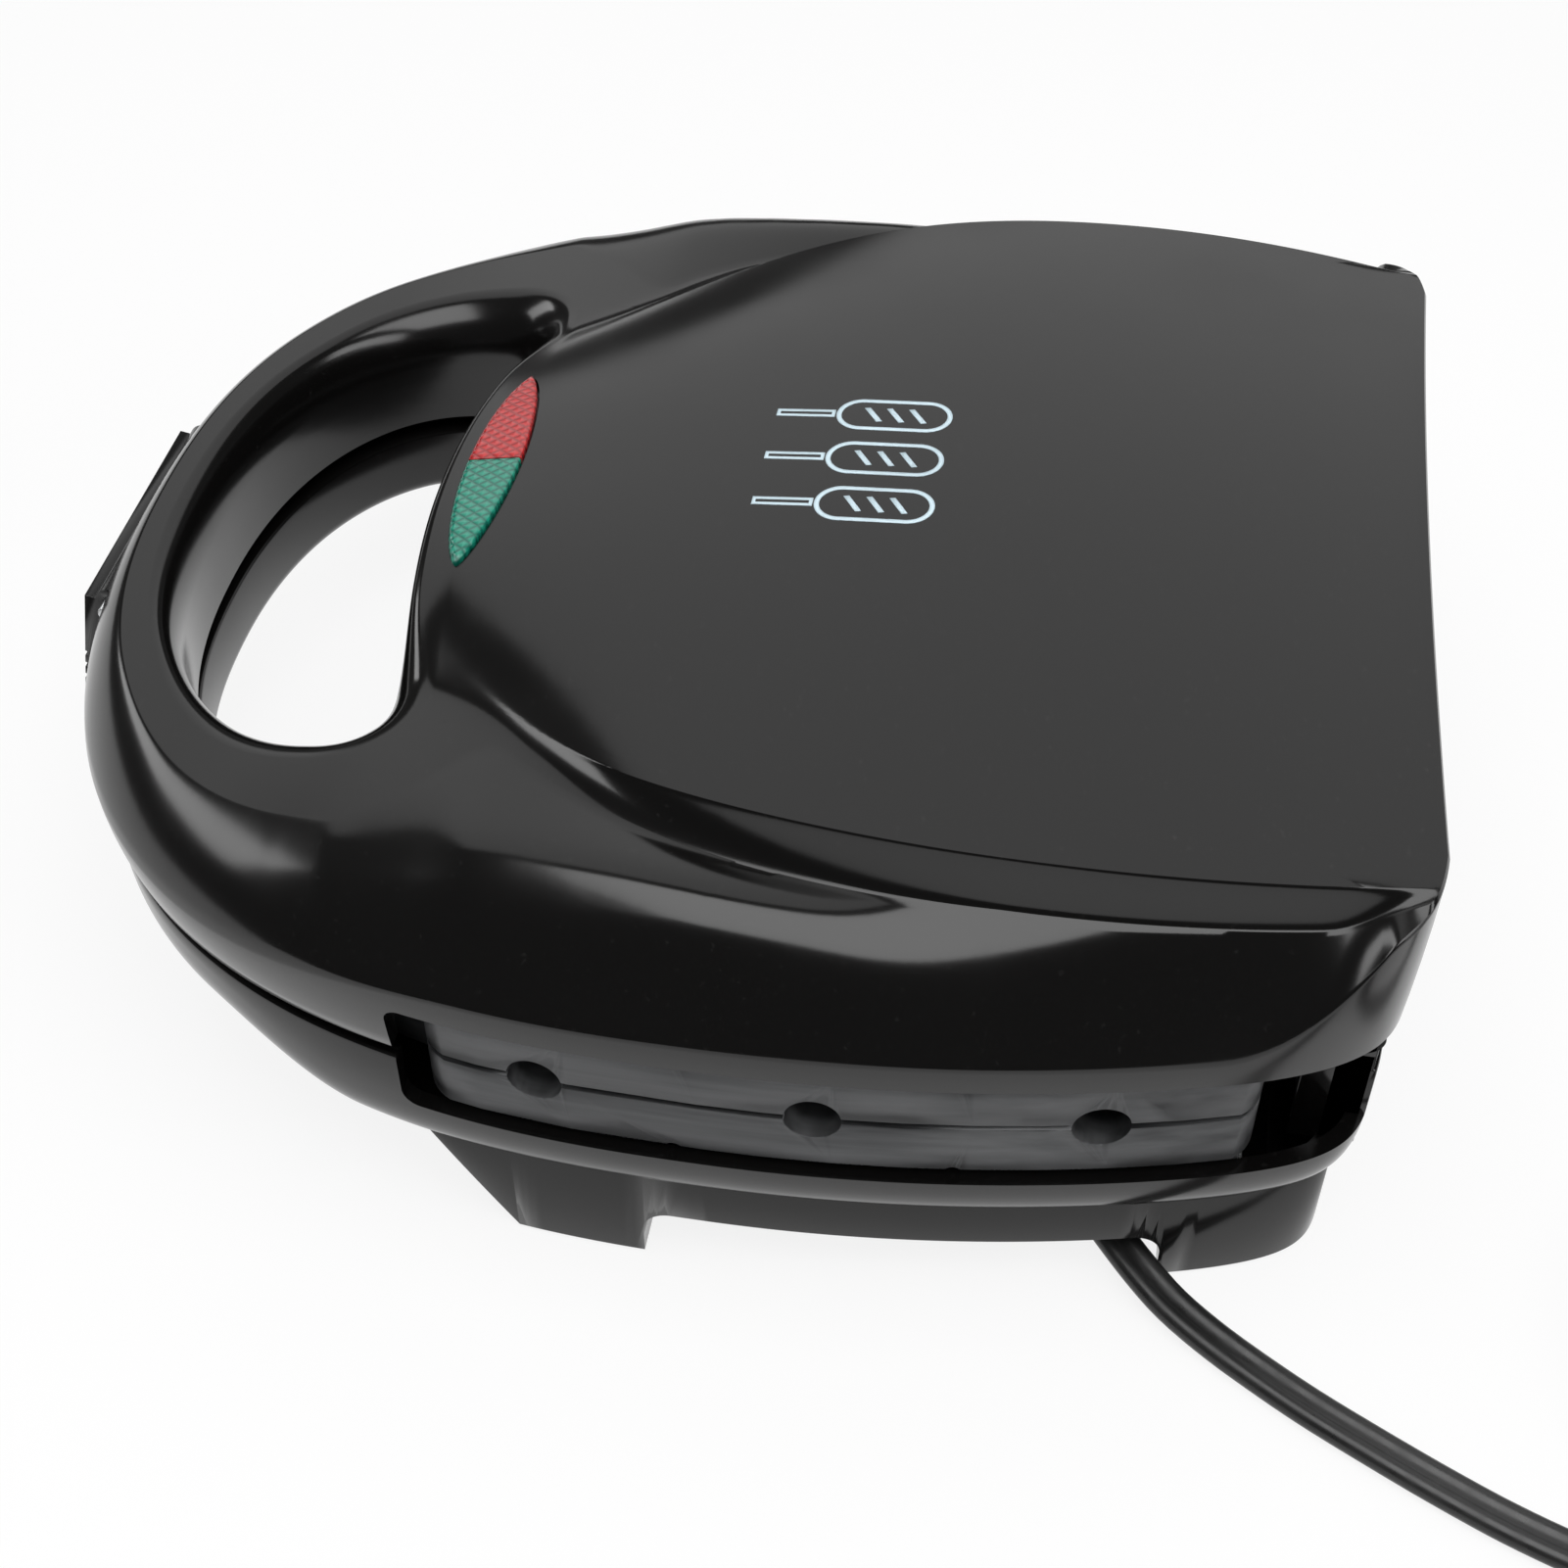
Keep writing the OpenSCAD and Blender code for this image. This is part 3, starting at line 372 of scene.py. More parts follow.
class NodeTree:
    """A material's node tree with short calls for the nodes used here."""

    def __init__(self, name: str) -> None:
        """Starts a material with its principled shader.

        Args:
            name: Name of the material.
        """
        self.material = bpy.data.materials.new(name)
        self.material.use_nodes = True
        self.tree = self.material.node_tree
        self.shader = self.tree.nodes["Principled BSDF"]
        coordinates = self.tree.nodes.new("ShaderNodeTexCoord")
        self.place = coordinates.outputs["Object"]

    def set(self, **values: object) -> None:
        """Sets sockets of the shader; an underscore stands for a space."""
        for key, value in values.items():
            self.shader.inputs[key.replace("_", " ")].default_value = value

    def stretched(self, scale: Sequence[float], turn: Sequence[float] = (0, 0, 0)) -> bpy.types.NodeSocket:
        """Object coordinates scaled and turned.

        Args:
            scale: Scale along each axis.
            turn: Turn about each axis in radians.

        Returns:
            The coordinates.
        """
        node = self.tree.nodes.new("ShaderNodeMapping")
        node.inputs["Scale"].default_value = scale
        node.inputs["Rotation"].default_value = turn
        self.tree.links.new(self.place, node.inputs["Vector"])
        return node.outputs["Vector"]

    def noise(self, vector: bpy.types.NodeSocket, scale: float, detail: float = 4.0) -> bpy.types.NodeSocket:
        """Value of a noise field.

        Args:
            vector: Coordinates.
            scale: Scale of the field.
            detail: Number of finer layers.

        Returns:
            The value.
        """
        node = self.tree.nodes.new("ShaderNodeTexNoise")
        node.inputs["Scale"].default_value = scale
        node.inputs["Detail"].default_value = detail
        self.tree.links.new(vector, node.inputs["Vector"])
        return node.outputs["Fac"]

    def ramp(
        self, value: bpy.types.NodeSocket, stops: Sequence[tuple[float, Sequence[float]]]
    ) -> bpy.types.NodeSocket:
        """Colour of a value between stops.

        Args:
            value: Value to colour.
            stops: Place and colour of each stop.

        Returns:
            The colour.
        """
        node = self.tree.nodes.new("ShaderNodeValToRGB")
        elements = node.color_ramp.elements
        while len(elements) < len(stops):
            elements.new(0.5)
        for element, (at, colour) in zip(elements, stops):
            element.position = at
            element.color = (*colour, 1.0)
        self.tree.links.new(value, node.inputs["Fac"])
        return node.outputs["Color"]

    def span(
        self, value: bpy.types.NodeSocket, low: float, high: float, to: Sequence[float]
    ) -> bpy.types.NodeSocket:
        """Value carried from one range to another.

        Args:
            value: Value to carry over.
            low: Start of its range.
            high: End of its range.
            to: Start and end of the new range.

        Returns:
            The new value.
        """
        node = self.tree.nodes.new("ShaderNodeMapRange")
        for key, number in zip(("From Min", "From Max", "To Min", "To Max"), (low, high, *to)):
            node.inputs[key].default_value = number
        self.tree.links.new(value, node.inputs["Value"])
        return node.outputs["Result"]

    def bump(self, height: bpy.types.NodeSocket, strength: float, distance: float) -> None:
        """Raises the surface by a height field.

        Args:
            height: Height field.
            strength: Share of the effect.
            distance: Height of a full step.
        """
        node = self.tree.nodes.new("ShaderNodeBump")
        node.inputs["Strength"].default_value = strength
        node.inputs["Distance"].default_value = distance
        self.tree.links.new(height, node.inputs["Height"])
        self.link(node.outputs["Normal"], "Normal")

    def link(self, socket: bpy.types.NodeSocket, name: str) -> None:
        """Links a socket to the shader."""
        self.tree.links.new(socket, self.shader.inputs[name])


@dataclass(frozen=True)
class GlossPlastic:
    """Moulded plastic with a gloss, a faint flow in its skin and a little dust."""

    name: str
    colour: tuple[float, float, float]
    roughness: float = 0.16
    spread: float = 0.05

    def material(self) -> bpy.types.Material:
        """Builds the finish.

        Returns:
            The material.
        """
        tree = NodeTree(self.name)
        tree.set(IOR=1.5, Specular_IOR_Level=0.5)
        flow = tree.noise(tree.stretched((1, 1, 1)), 22.0, 3.0)
        gloss = (self.roughness - self.spread, self.roughness + self.spread)
        tree.link(tree.span(flow, 0.3, 0.7, gloss), "Roughness")
        dust = tree.noise(tree.stretched((1, 1, 1)), 900.0, 2.0)
        pale = tuple(min(1.0, 2.2 * c + 0.004) for c in self.colour)
        tree.link(tree.ramp(dust, [(0.0, self.colour), (0.66, self.colour), (0.8, pale)]), "Base Color")
        tree.bump(tree.noise(tree.stretched((1, 1, 1)), 260.0, 2.0), 0.03, 0.0002)
        return tree.material


@dataclass(frozen=True)
class BrushedCoat:
    """Dark non-stick coat over brushed aluminium, brushed along one axis."""

    name: str
    colour: tuple[float, float, float]
    light: tuple[float, float, float]
    along: tuple[float, float, float]
    roughness: float = 0.42

    def material(self) -> bpy.types.Material:
        """Builds the finish.

        Returns:
            The material.
        """
        tree = NodeTree(self.name)
        tree.set(Metallic=0.55)
        lines = tree.noise(tree.stretched(self.along), 260.0, 6.0)
        tree.link(tree.ramp(lines, [(0.32, self.colour), (0.72, self.light)]), "Base Color")
        tree.link(tree.span(lines, 0.3, 0.7, (self.roughness - 0.1, self.roughness + 0.12)), "Roughness")
        tree.bump(lines, 0.25, 0.0003)
        return tree.material


@dataclass(frozen=True)
class LensPlastic:
    """Coloured clear plastic with a net of fine prisms inside."""

    name: str
    colour: tuple[float, float, float]
    deep: tuple[float, float, float]
    prism: float = 0.9 * MM

    def material(self) -> bpy.types.Material:
        """Builds the finish.

        Returns:
            The material.
        """
        tree = NodeTree(self.name)
        tree.set(Roughness=0.14, IOR=1.49, Transmission_Weight=0.15, Coat_Weight=0.6, Coat_Roughness=0.05)
        heights = []
        for turn in (math.radians(38), math.radians(-38)):
            wave = tree.tree.nodes.new("ShaderNodeTexWave")
            wave.wave_profile = "TRI"
            wave.inputs["Scale"].default_value = 0.314 / self.prism / 2
            tree.tree.links.new(tree.stretched((1, 1, 1), (0, 0, turn)), wave.inputs["Vector"])
            heights.append(wave.outputs["Fac"])
        net = tree.tree.nodes.new("ShaderNodeMath")
        net.operation = "MINIMUM"
        for socket, height in zip(net.inputs, heights):
            tree.tree.links.new(height, socket)
        tree.link(tree.ramp(net.outputs["Value"], [(0.05, self.deep), (0.6, self.colour)]), "Base Color")
        tree.bump(net.outputs["Value"], 0.35, 0.0004)
        return tree.material


@dataclass(frozen=True)
class PlainMetal:
    """Sheet or turned metal with fine marks of its making."""

    name: str
    colour: tuple[float, float, float]
    marks: tuple[float, float, float] = (1.0, 14.0, 1.0)
    roughness: float = 0.28
    tint: tuple[float, float, float] | None = None

    def material(self) -> bpy.types.Material:
        """Builds the finish.

        Returns:
            The material.
        """
        tree = NodeTree(self.name)
        tree.set(Metallic=1.0)
        lines = tree.noise(tree.stretched(self.marks), 180.0, 5.0)
        worn = self.tint or tuple(0.82 * c for c in self.colour)
        tree.link(tree.ramp(lines, [(0.3, worn), (0.7, self.colour)]), "Base Color")
        tree.link(tree.span(lines, 0.3, 0.7, (self.roughness - 0.08, self.roughness + 0.1)), "Roughness")
        tree.bump(lines, 0.12, 0.0002)
        return tree.material


@dataclass(frozen=True)
class SoftSkin:
    """Rubber, vinyl or matte plastic with a fine grain."""

    name: str
    colour: tuple[float, float, float]
    roughness: float = 0.55
    grain: float = 700.0
    depth: float = 0.12

    def material(self) -> bpy.types.Material:
        """Builds the finish.

        Returns:
            The material.
        """
        tree = NodeTree(self.name)
        fine = tree.noise(tree.stretched((1, 1, 1)), self.grain, 3.0)
        broad = tree.noise(tree.stretched((1, 1, 1)), 40.0, 3.0)
        worn = tuple(min(1.0, 1.25 * c + 0.004) for c in self.colour)
        tree.link(tree.ramp(broad, [(0.35, self.colour), (0.75, worn)]), "Base Color")
        tree.link(tree.span(fine, 0.3, 0.7, (self.roughness - 0.08, self.roughness + 0.08)), "Roughness")
        tree.bump(fine, self.depth, 0.0002)
        return tree.material


@dataclass(frozen=True)
class BulbGlass:
    """Clear glass of a neon lamp."""

    name: str
    colour: tuple[float, float, float]

    def material(self) -> bpy.types.Material:
        """Builds the finish.

        Returns:
            The material.
        """
        tree = NodeTree(self.name)
        tree.set(Base_Color=(*self.colour, 1.0), IOR=1.5, Transmission_Weight=0.85)
        haze = tree.noise(tree.stretched((1, 1, 1)), 300.0, 2.0)
        tree.link(tree.span(haze, 0.3, 0.7, (0.05, 0.14)), "Roughness")
        return tree.material


class Palette:
    """Every finish of the object, built once."""

    def __init__(self) -> None:
        """Builds the materials."""
        self.housing = GlossPlastic("gloss_black_plastic", (0.0036, 0.0034, 0.0033)).material()
        self.latch = GlossPlastic("latch_black_plastic", (0.004, 0.004, 0.0041), 0.24).material()
        coat, worn = (0.042, 0.043, 0.045), (0.13, 0.132, 0.136)
        self.plate = BrushedCoat("brushed_dark_coat", coat, worn, (1.0, 0.03, 1.0)).material()
        self.red = LensPlastic("red_lens_plastic", (0.58, 0.018, 0.02), (0.3, 0.006, 0.008)).material()
        self.green = LensPlastic("green_lens_plastic", (0.012, 0.3, 0.2), (0.004, 0.13, 0.09)).material()
        self.steel = PlainMetal("bright_steel", (0.62, 0.63, 0.64)).material()
        burnt, scorched = (0.3, 0.27, 0.24), (0.16, 0.13, 0.12)
        self.element = PlainMetal("heat_tinted_steel", burnt, tint=scorched, roughness=0.4).material()
        across = (14.0, 1.0, 1.0)
        self.nickel = PlainMetal("nickel_plate", (0.7, 0.69, 0.66), marks=across, roughness=0.22).material()
        self.rubber = SoftSkin("foot_rubber", (0.018, 0.018, 0.018), 0.7).material()
        self.jacket = SoftSkin("vinyl_cord_jacket", (0.011, 0.011, 0.011), 0.34, 300.0, 0.05).material()
        self.plug = SoftSkin("vinyl_plug", (0.011, 0.011, 0.011), 0.42, 500.0, 0.08).material()
        self.pale = SoftSkin("pale_moulding", (0.68, 0.66, 0.6), 0.6).material()
        self.dark = SoftSkin("dark_moulding", (0.022, 0.022, 0.024), 0.5).material()
        self.sleeve = SoftSkin("woven_sleeve", (0.66, 0.64, 0.58), 0.85, 1500.0, 0.4).material()
        self.tie = SoftSkin("paper_tie", (0.78, 0.77, 0.73), 0.7).material()
        self.print = SoftSkin("pale_print", (0.5, 0.62, 0.68), 0.5, 2000.0, 0.03).material()
        self.bulb = BulbGlass("neon_glass", (0.95, 0.88, 0.82)).material()


# Housing: the curves of its skin


@dataclass(frozen=True)
class Span:
    """A stretch along Y in millimetres over which one form turns into the next."""

    start: float
    end: float

    def part(self, y: Array) -> Array:
        """Straight share of the stretch, 0 at its start and 1 at its end."""
        return (y - self.start) / (self.end - self.start)

    def share(self, y: Array) -> Array:
        """Smooth share, 0 before the stretch and 1 past it."""
        return ease(self.part(y))


@dataclass(frozen=True)
class Housing:
    """Sizes of the housing's skin in millimetres, and the curves that follow from them.

    A column of the skin is named by a number j. It runs from 0 at the front of the handle, along the
    right side, to last at the middle of the rear edge, and a left column is the mirror of a right one.
    Between them it passes the side of the finger gap, the widest place, the start of the rear corner and
    the start of the rear edge.
    """

    half_w: float = 112.0
    front_y: float = -113.5
    rear_y: float = 125.5
    wide_y: float = 15.5
    front_power: float = 2.5
    rear_power: float = 14.0
    rear_taper: float = 20.0
    rear_sag: float = 1.8
    roll_z: float = 64.8
    grip_roll_z: float = 58.0
    grip_top: float = 72.0
    ring_rise: tuple[float, float] = (8.1, 2.6)
    panel_top: float = 94.4
    panel_w: float = 89.0
    panel_y: float = 68.5
    panel_f: float = 118.4
    panel_power: float = 2.2
    panel_fall_x: float = 4.0
    panel_fall_y: float = 12.0
    panel_fall_c: float = 38.0
    gap_w: float = 61.0
    gap_y: float = -58.5
    gap_f: float = 39.6
    gap_r: float = 7.0
    ring_crest: float = 2.6
    shoulders: tuple[float, float, float, float] = (8.0, 17.0, 14.5, 20.0)
    grip_roll: float = 8.0
    grip_round: float = 1.4
    ramp_run: float = 28.0
    step_front: float = 7.0
    step_rear: float = 2.4
    rear_edge: float = 1.5
    step_curve: float = 1.8
    merge: float = 0.8
    knees: tuple[float, float] = (8.0, 3.0)
    gap_rolls: tuple[float, float, float] = (4.5, 9.0, 2.4)
    ring_front: Span = Span(-80.0, -15.0)
    ring_rear: Span = Span(-20.0, 130.0)
    wall_span: Span = Span(-80.0, -20.0)
    ramp_span: Span = Span(-45.0, -23.0)
    step_span: Span = Span(-20.0, 60.0)
    curve_span: Span = Span(-40.0, -20.0)
    lean_span: Span = Span(-70.0, -20.0)
    knee_span: Span = Span(-5.0, 50.0)
    crest_front: Span = Span(-70.0, 10.0)
    crest_rear: Span = Span(62.0, 27.0)
    shoulder_spans: tuple[Span, Span, Span] = (Span(-75.0, -30.0), Span(-5.0, 35.0), Span(32.0, 62.0))
    gap_side: int = 10
    widest: int = 15
    corner_at: int = 23
    rear_at: int = 28
    last: int = 33
    steps: int = 5
    close_columns: tuple[int, int] = (9, 16)
    crease_columns: tuple[int, int] = (11, 13)
    side_step: float = 0.1
    corner_end: float = 75.0
    gap_powers: tuple[float, float] = (2.2, 3.0)
    gap_bow: float = 48.0

    def columns(self) -> Array:
        """Numbers of the columns of the right half, set closer where the ramp meets the panel.

        Returns:
            The numbers in order.
        """
        even = np.linspace(0.0, self.last, self.last * self.steps + 1)
        first, end = self.close_columns
        close = np.linspace(first, end, (end - first) * 2 * self.steps + 1)
        return np.unique(np.round(np.concatenate([even, close]), 6))

    def around(self, right: Array) -> Array:
        """Rows of points of the right half, carried on round the left half.

        Args:
            right: Rows of the right half.

        Returns:
            Rows of the whole housing.
        """
        left = right[:, -2:0:-1].copy()
        left[..., 0] *= -1
        return np.concatenate([right, left], axis=1)

    def _rim_right(self, j: Array) -> Array:
        """Widest outline for columns of the right half.

        Args:
            j: Numbers of the columns.

        Returns:
            Plan points.
        """
        front_b, rear_b = self.wide_y - self.front_y, self.rear_y - self.wide_y
        q = np.radians(np.clip(j, 0, self.widest) * (90.0 / self.widest))
        fp, rp = 2 / self.front_power, 2 / self.rear_power
        front_y = self.wide_y - front_b * np.abs(np.cos(q)) ** fp
        front = np.column_stack([self.half_w * np.sin(q) ** fp, front_y])
        side_columns = self.corner_at - self.widest
        s = self.side_step * np.clip(j - self.widest, 0, side_columns)
        side_x = (self.half_w - self.rear_taper * s**2) * (1 - s**self.rear_power) ** (1 / self.rear_power)
        side = np.column_stack([side_x, self.wide_y + rear_b * s])
        start = math.degrees(math.asin((self.side_step * side_columns) ** (self.rear_power / 2)))
        way = np.clip((j - self.corner_at) / (self.rear_at - self.corner_at), 0, 1)
        corner = self._corner(np.radians(lerp(start, self.corner_end, way)), rear_b, rp)
        end = self._corner(np.radians(np.array([self.corner_end])), rear_b, rp)[0]
        t = np.clip((self.last - j) / (self.last - self.rear_at), 0, 1)
        rear = np.column_stack([end[0] * t, end[1] - self.rear_sag * (1 - t**2)])
        pick = [(j <= end_column)[:, None] for end_column in (self.widest, self.corner_at, self.rear_at)]
        return np.select(pick, [front, side, corner], rear)

    def _corner(self, a: Array, rear_b: float, power: float) -> Array:
        """Outline of the rear corner at the given angles.

        Args:
            a: Angles round the corner.
            rear_b: Length behind the widest place.
            power: Power of the curve.

        Returns:
            Plan points.
        """
        s = np.sin(a) ** power
        x = (self.half_w - self.rear_taper * s**2) * np.cos(a) ** power
        return np.column_stack([x, self.wide_y + rear_b * s])

    def _mirrored(self, curve: Callable[[Array], Array], j: Array) -> Array:
        """A curve of the right half, carried past both middle columns.

        Args:
            curve: Curve of the right half.
            j: Numbers of the columns.

        Returns:
            Plan points.
        """
        beyond = (j < 0) | (j > self.last)
        points = curve(np.where(j < 0, -j, np.where(j > self.last, 2 * self.last - j, j)))
        points[beyond, 0] *= -1
        return points

    def rim(self, j: Array) -> Array:
        """Widest outline."""
        return self._mirrored(self._rim_right, j)

    def rim_in(self, j: Array, inset: Array) -> Array:
        """Outline drawn in by a distance along its normal.

        Args:
            j: Numbers of the columns.
            inset: Distance drawn in.

        Returns:
            Plan points.
        """
        t = self.rim(j + 0.05) - self.rim(j - 0.05)
        normal = np.column_stack([-t[:, 1], t[:, 0]]) / np.linalg.norm(t, axis=1)[:, None]
        return self.rim(j) + normal * np.broadcast_to(np.asarray(inset, float), j.shape)[:, None]

    def gap_angle(self, j: Array) -> Array:
        """Angle round the finger gap, 0 at its front and 180 at its rear."""
        return np.interp(j, [0, self.gap_side, self.widest, self.last], [0, 90, 130, 180])

    def _gap_right(self, j: Array) -> Array:
        """Edge of the finger gap for columns of the right half.

        Args:
            j: Numbers of the columns.

        Returns:
            Plan points.
        """
        a = np.radians(self.gap_angle(j))
        sin, cos = np.clip(np.sin(a), 0, 1), np.abs(np.cos(a))
        fp, rp = (2 / power for power in self.gap_powers)
        front = np.column_stack([self.gap_w * sin**fp, self.gap_y - self.gap_f * cos**fp])
        x = self.gap_w * sin**rp
        rear = np.column_stack([x, self.gap_y + self.gap_r * (1 + (x / self.gap_bow) ** 2) * cos**rp])
        return np.where((j <= self.gap_side)[:, None], front, rear)

    def gap(self, j: Array) -> Array:
        """Edge of the finger gap."""
        return self._mirrored(self._gap_right, j)

    def gap_out(self, j: Array, d: Array) -> Array:
        """Edge of the finger gap moved out into the housing by d.

        Args:
            j: Numbers of the columns.
            d: Distance moved out.

        Returns:
            Plan points.
        """
        t = self.gap(j + 0.05) - self.gap(j - 0.05)
        normal = np.column_stack([t[:, 1], -t[:, 0]]) / np.linalg.norm(t, axis=1)[:, None]
        return self.gap(j) + normal * np.broadcast_to(np.asarray(d, float), j.shape)[:, None]

    def panel_x(self, y: Array) -> Array:
        """Half width of the top panel.

        Args:
            y: Places along the housing.

        Returns:
            The half widths.
        """
        ahead = np.clip(1 - np.abs((self.panel_y - y) / self.panel_f) ** self.panel_power, 0, 1)
        behind = self.panel_w - 7 * ((y - self.panel_y) / (self.rear_y - self.panel_y)) ** 2
        return np.where(y < self.panel_y, self.panel_w * ahead ** (1 / self.panel_power), behind)

    def crown(self, p: Array) -> Array:
        """Height of the top panel.

        Args:
            p: Plan points.

        Returns:
            The heights.
        """
        across, along = np.abs(p[..., 0]) / self.panel_w, (self.panel_y - p[..., 1]) / self.panel_f
        fall = self.panel_fall_x * across**2 + self.panel_fall_y * along**2
        return self.panel_top - fall - self.panel_fall_c * across**3 * np.maximum(0, along) ** 4

    def ring_z(self, y: Array) -> Array:
        """Crest of the rolled ring."""
        front, rear = self.ring_rise
        return self.grip_top + front * self.ring_front.share(y) + rear * np.clip(self.ring_rear.part(y), 0, 1)

    def roll_top(self, p: Array) -> Array:
        """Top of the ring, which meets the panel at the rear."""
        meet = Span(self.rear_y - 17.5, self.rear_y - self.rear_edge)
        return lerp(self.ring_z(p[:, 1]), self.crown(p), meet.share(p[:, 1]))

    def panel_off(self, p: Array) -> Array:
        """Distance from the panel's edge, counted outwards.

        Args:
            p: Plan points.

        Returns:
            The distances, less than 0 on the panel.
        """
        x, n = np.abs(p[:, 0]) / self.panel_w, self.panel_power
        v = np.maximum(0.0, (self.panel_y - p[:, 1]) / self.panel_f)
        slope = n * np.hypot(x ** (n - 1) / self.panel_w, v ** (n - 1) / self.panel_f)
        ahead = (x**n + v**n - 1) / np.maximum(slope, 1e-6)
        return np.where(p[:, 1] > self.panel_y, np.abs(p[:, 0]) - self.panel_x(p[:, 1]), ahead)

    def run_at(self, y: Array) -> Array:
        """Width of the step from the ring up to the panel, a wide ramp beside the finger gap."""
        step = lerp(self.step_front, self.step_rear, np.clip(self.step_span.part(y), 0, 1))
        return lerp(self.ramp_run, step, self.ramp_span.share(y))

    def top_z(self, p: Array) -> Array:
        """Height of the lid's top: the ring, the panel and the step between them.

        Args:
            p: Plan points.

        Returns:
            The heights.
        """
        low = self.roll_top(p)
        u = np.clip(1 - self.panel_off(p) / self.run_at(p[:, 1]), 0, 1)
        rise = self.crown(p) - low
        rise = (rise + np.sqrt(rise**2 + self.merge)) / 2
        return low + rise * lerp(ease(u), u**self.step_curve, self.curve_span.share(p[:, 1]))

    def wall_top(self, y: Array) -> Array:
        """Top of the lid's outer wall, where the ring starts to lean in.

        Args:
            y: Places along the housing.

        Returns:
            The heights.
        """
        rear = np.maximum(0.0, Span(self.rear_y - 30.5, self.rear_y - 3.5).part(y)) ** 2
        side = lerp(self.grip_roll_z, self.roll_z, self.wall_span.share(y))
        return side + (self.panel_top - self.roll_z) * rear

    def crest_rise(self, y: Array) -> Array:
        """Height of the ring's crest over the foot of the step."""
        return self.ring_crest * self.crest_front.share(y) * self.crest_rear.share(y)

    def shoulder_at(self, y: Array) -> Array:
        """Inset of the ring's crest: least on the handle, and at the foot of the step behind the middle.

        Args:
            y: Places along the housing.

        Returns:
            The insets.
        """
        grip, ramp, side, rear = self.shoulders
        first, middle, last = (span.share(y) for span in self.shoulder_spans)
        return lerp(grip, ramp, first) + (side - ramp) * middle + (rear - side) * last

    def ring_at(self, u: Array, reach: Array, y: Array, low: Array, high: Array) -> Array:
        """Height of the ring: round on the handle, leaning up to a crest on the sides.

        Args:
            u: Share of the way in from the outer wall to the foot of the step.
            reach: Length of that way over the inset of the crest.
            y: Place along the housing.
            low: Top of the outer wall.
            high: Height of the foot.

        Returns:
            The heights.
        """
        soft, rise = lerp(*self.knees, self.knee_span.share(y)), self.crest_rise(y)

        def lean(t: Array) -> Array:
            """Straight rise that turns level past 1."""
            return t * (1 + t**soft) ** (-1 / soft)

        level = lean(reach)
        past = (u * reach - lean(u * reach)) / np.maximum(reach - level, 1e-6)
        leaning = ((high - low) / level + rise) * lean(u * reach) - rise * level * past
        grip = (high - low) * (1 - (1 - u) ** self.grip_round) ** (1 / self.grip_round)
        return low + lerp(grip, leaning, self.lean_span.share(y))

    def crease_share(self, j: Array) -> Array:
        """How far a column follows the panel's edge, from 0 on the handle to 1 beside the panel."""
        first, end = self.crease_columns
        return ease((j - first) / (end - first))

    def edge(self, j: Array) -> Array:
        """Where a column crosses the edge of the panel, or the middle of the handle.

        Args:
            j: Numbers of the columns.

        Returns:
            Plan points.
        """
        y = self.rim(j)[:, 1]
        middle = between(self.rim_in(j, self.grip_roll), self.gap_out(j, self.gap_roll(j)), 0.5)
        side = between(middle, np.column_stack([self.panel_x(y), y]), self.crease_share(j))
        rear = self.rim_in(j, self.rear_edge)
        rear[:, 0] = np.minimum(rear[:, 0], self.panel_x(rear[:, 1]))
        return np.where((j > self.corner_at)[:, None], rear, side)

    def gap_roll(self, j: Array) -> Array:
        """Radius of the roll into the finger gap.

        Args:
            j: Numbers of the columns.

        Returns:
            The radii.
        """
        a = self.gap_angle(j)
        front, side, rear = self.gap_rolls
        return lerp(lerp(front, side, ease((a - 40) / 50)), rear, ease((a - 110) / 50))

    def outline(self, inset: float, y0: float) -> Array:
        """Outline drawn in and cut off in front of a plane across it, anticlockwise.

        Args:
            inset: Distance drawn in.
            y0: Place of the plane.

        Returns:
            Plan points.
        """
        half = self.rim_in(self.columns(), inset)
        half = half[half[:, 1] > y0]
        half[-1, 0] = 0.0
        x = np.interp(y0, *self._front_side(inset))
        half = np.vstack([[x, y0], half])
        left = half[-2::-1] * (-1, 1)
        return np.vstack([half, left])

    def _front_side(self, inset: float) -> tuple[Array, Array]:
        """Y and X of the drawn-in outline along its front right."""
        side = self.rim_in(np.linspace(0.0, self.widest, 200), inset)
        return side[:, 1], side[:, 0]


def side_tool(
    name: str, side: Side, x: tuple[float, float], loop: Sequence[tuple[float, float]]
) -> bpy.types.Object:
    """Cutter that runs out sideways from a loop of Y and Z, in millimetres.

    Args:
        name: Name of the cutter.
        side: Side of the housing that it cuts.
        x: Where it starts and ends, counted out from the middle.
        loop: Y and Z of its outline.

    Returns:
        The closed cutter.
    """
    n = len(loop)
    points = [(side.value * a * MM, y * MM, z * MM) for a in x for y, z in loop]
    faces = [(i, (i + 1) % n, n + (i + 1) % n, n + i) for i in range(n)]
    faces += [tuple(range(n - 1, -1, -1)), tuple(range(n, 2 * n))]
    return outward(mesh_object(name, points, faces, smooth=False))


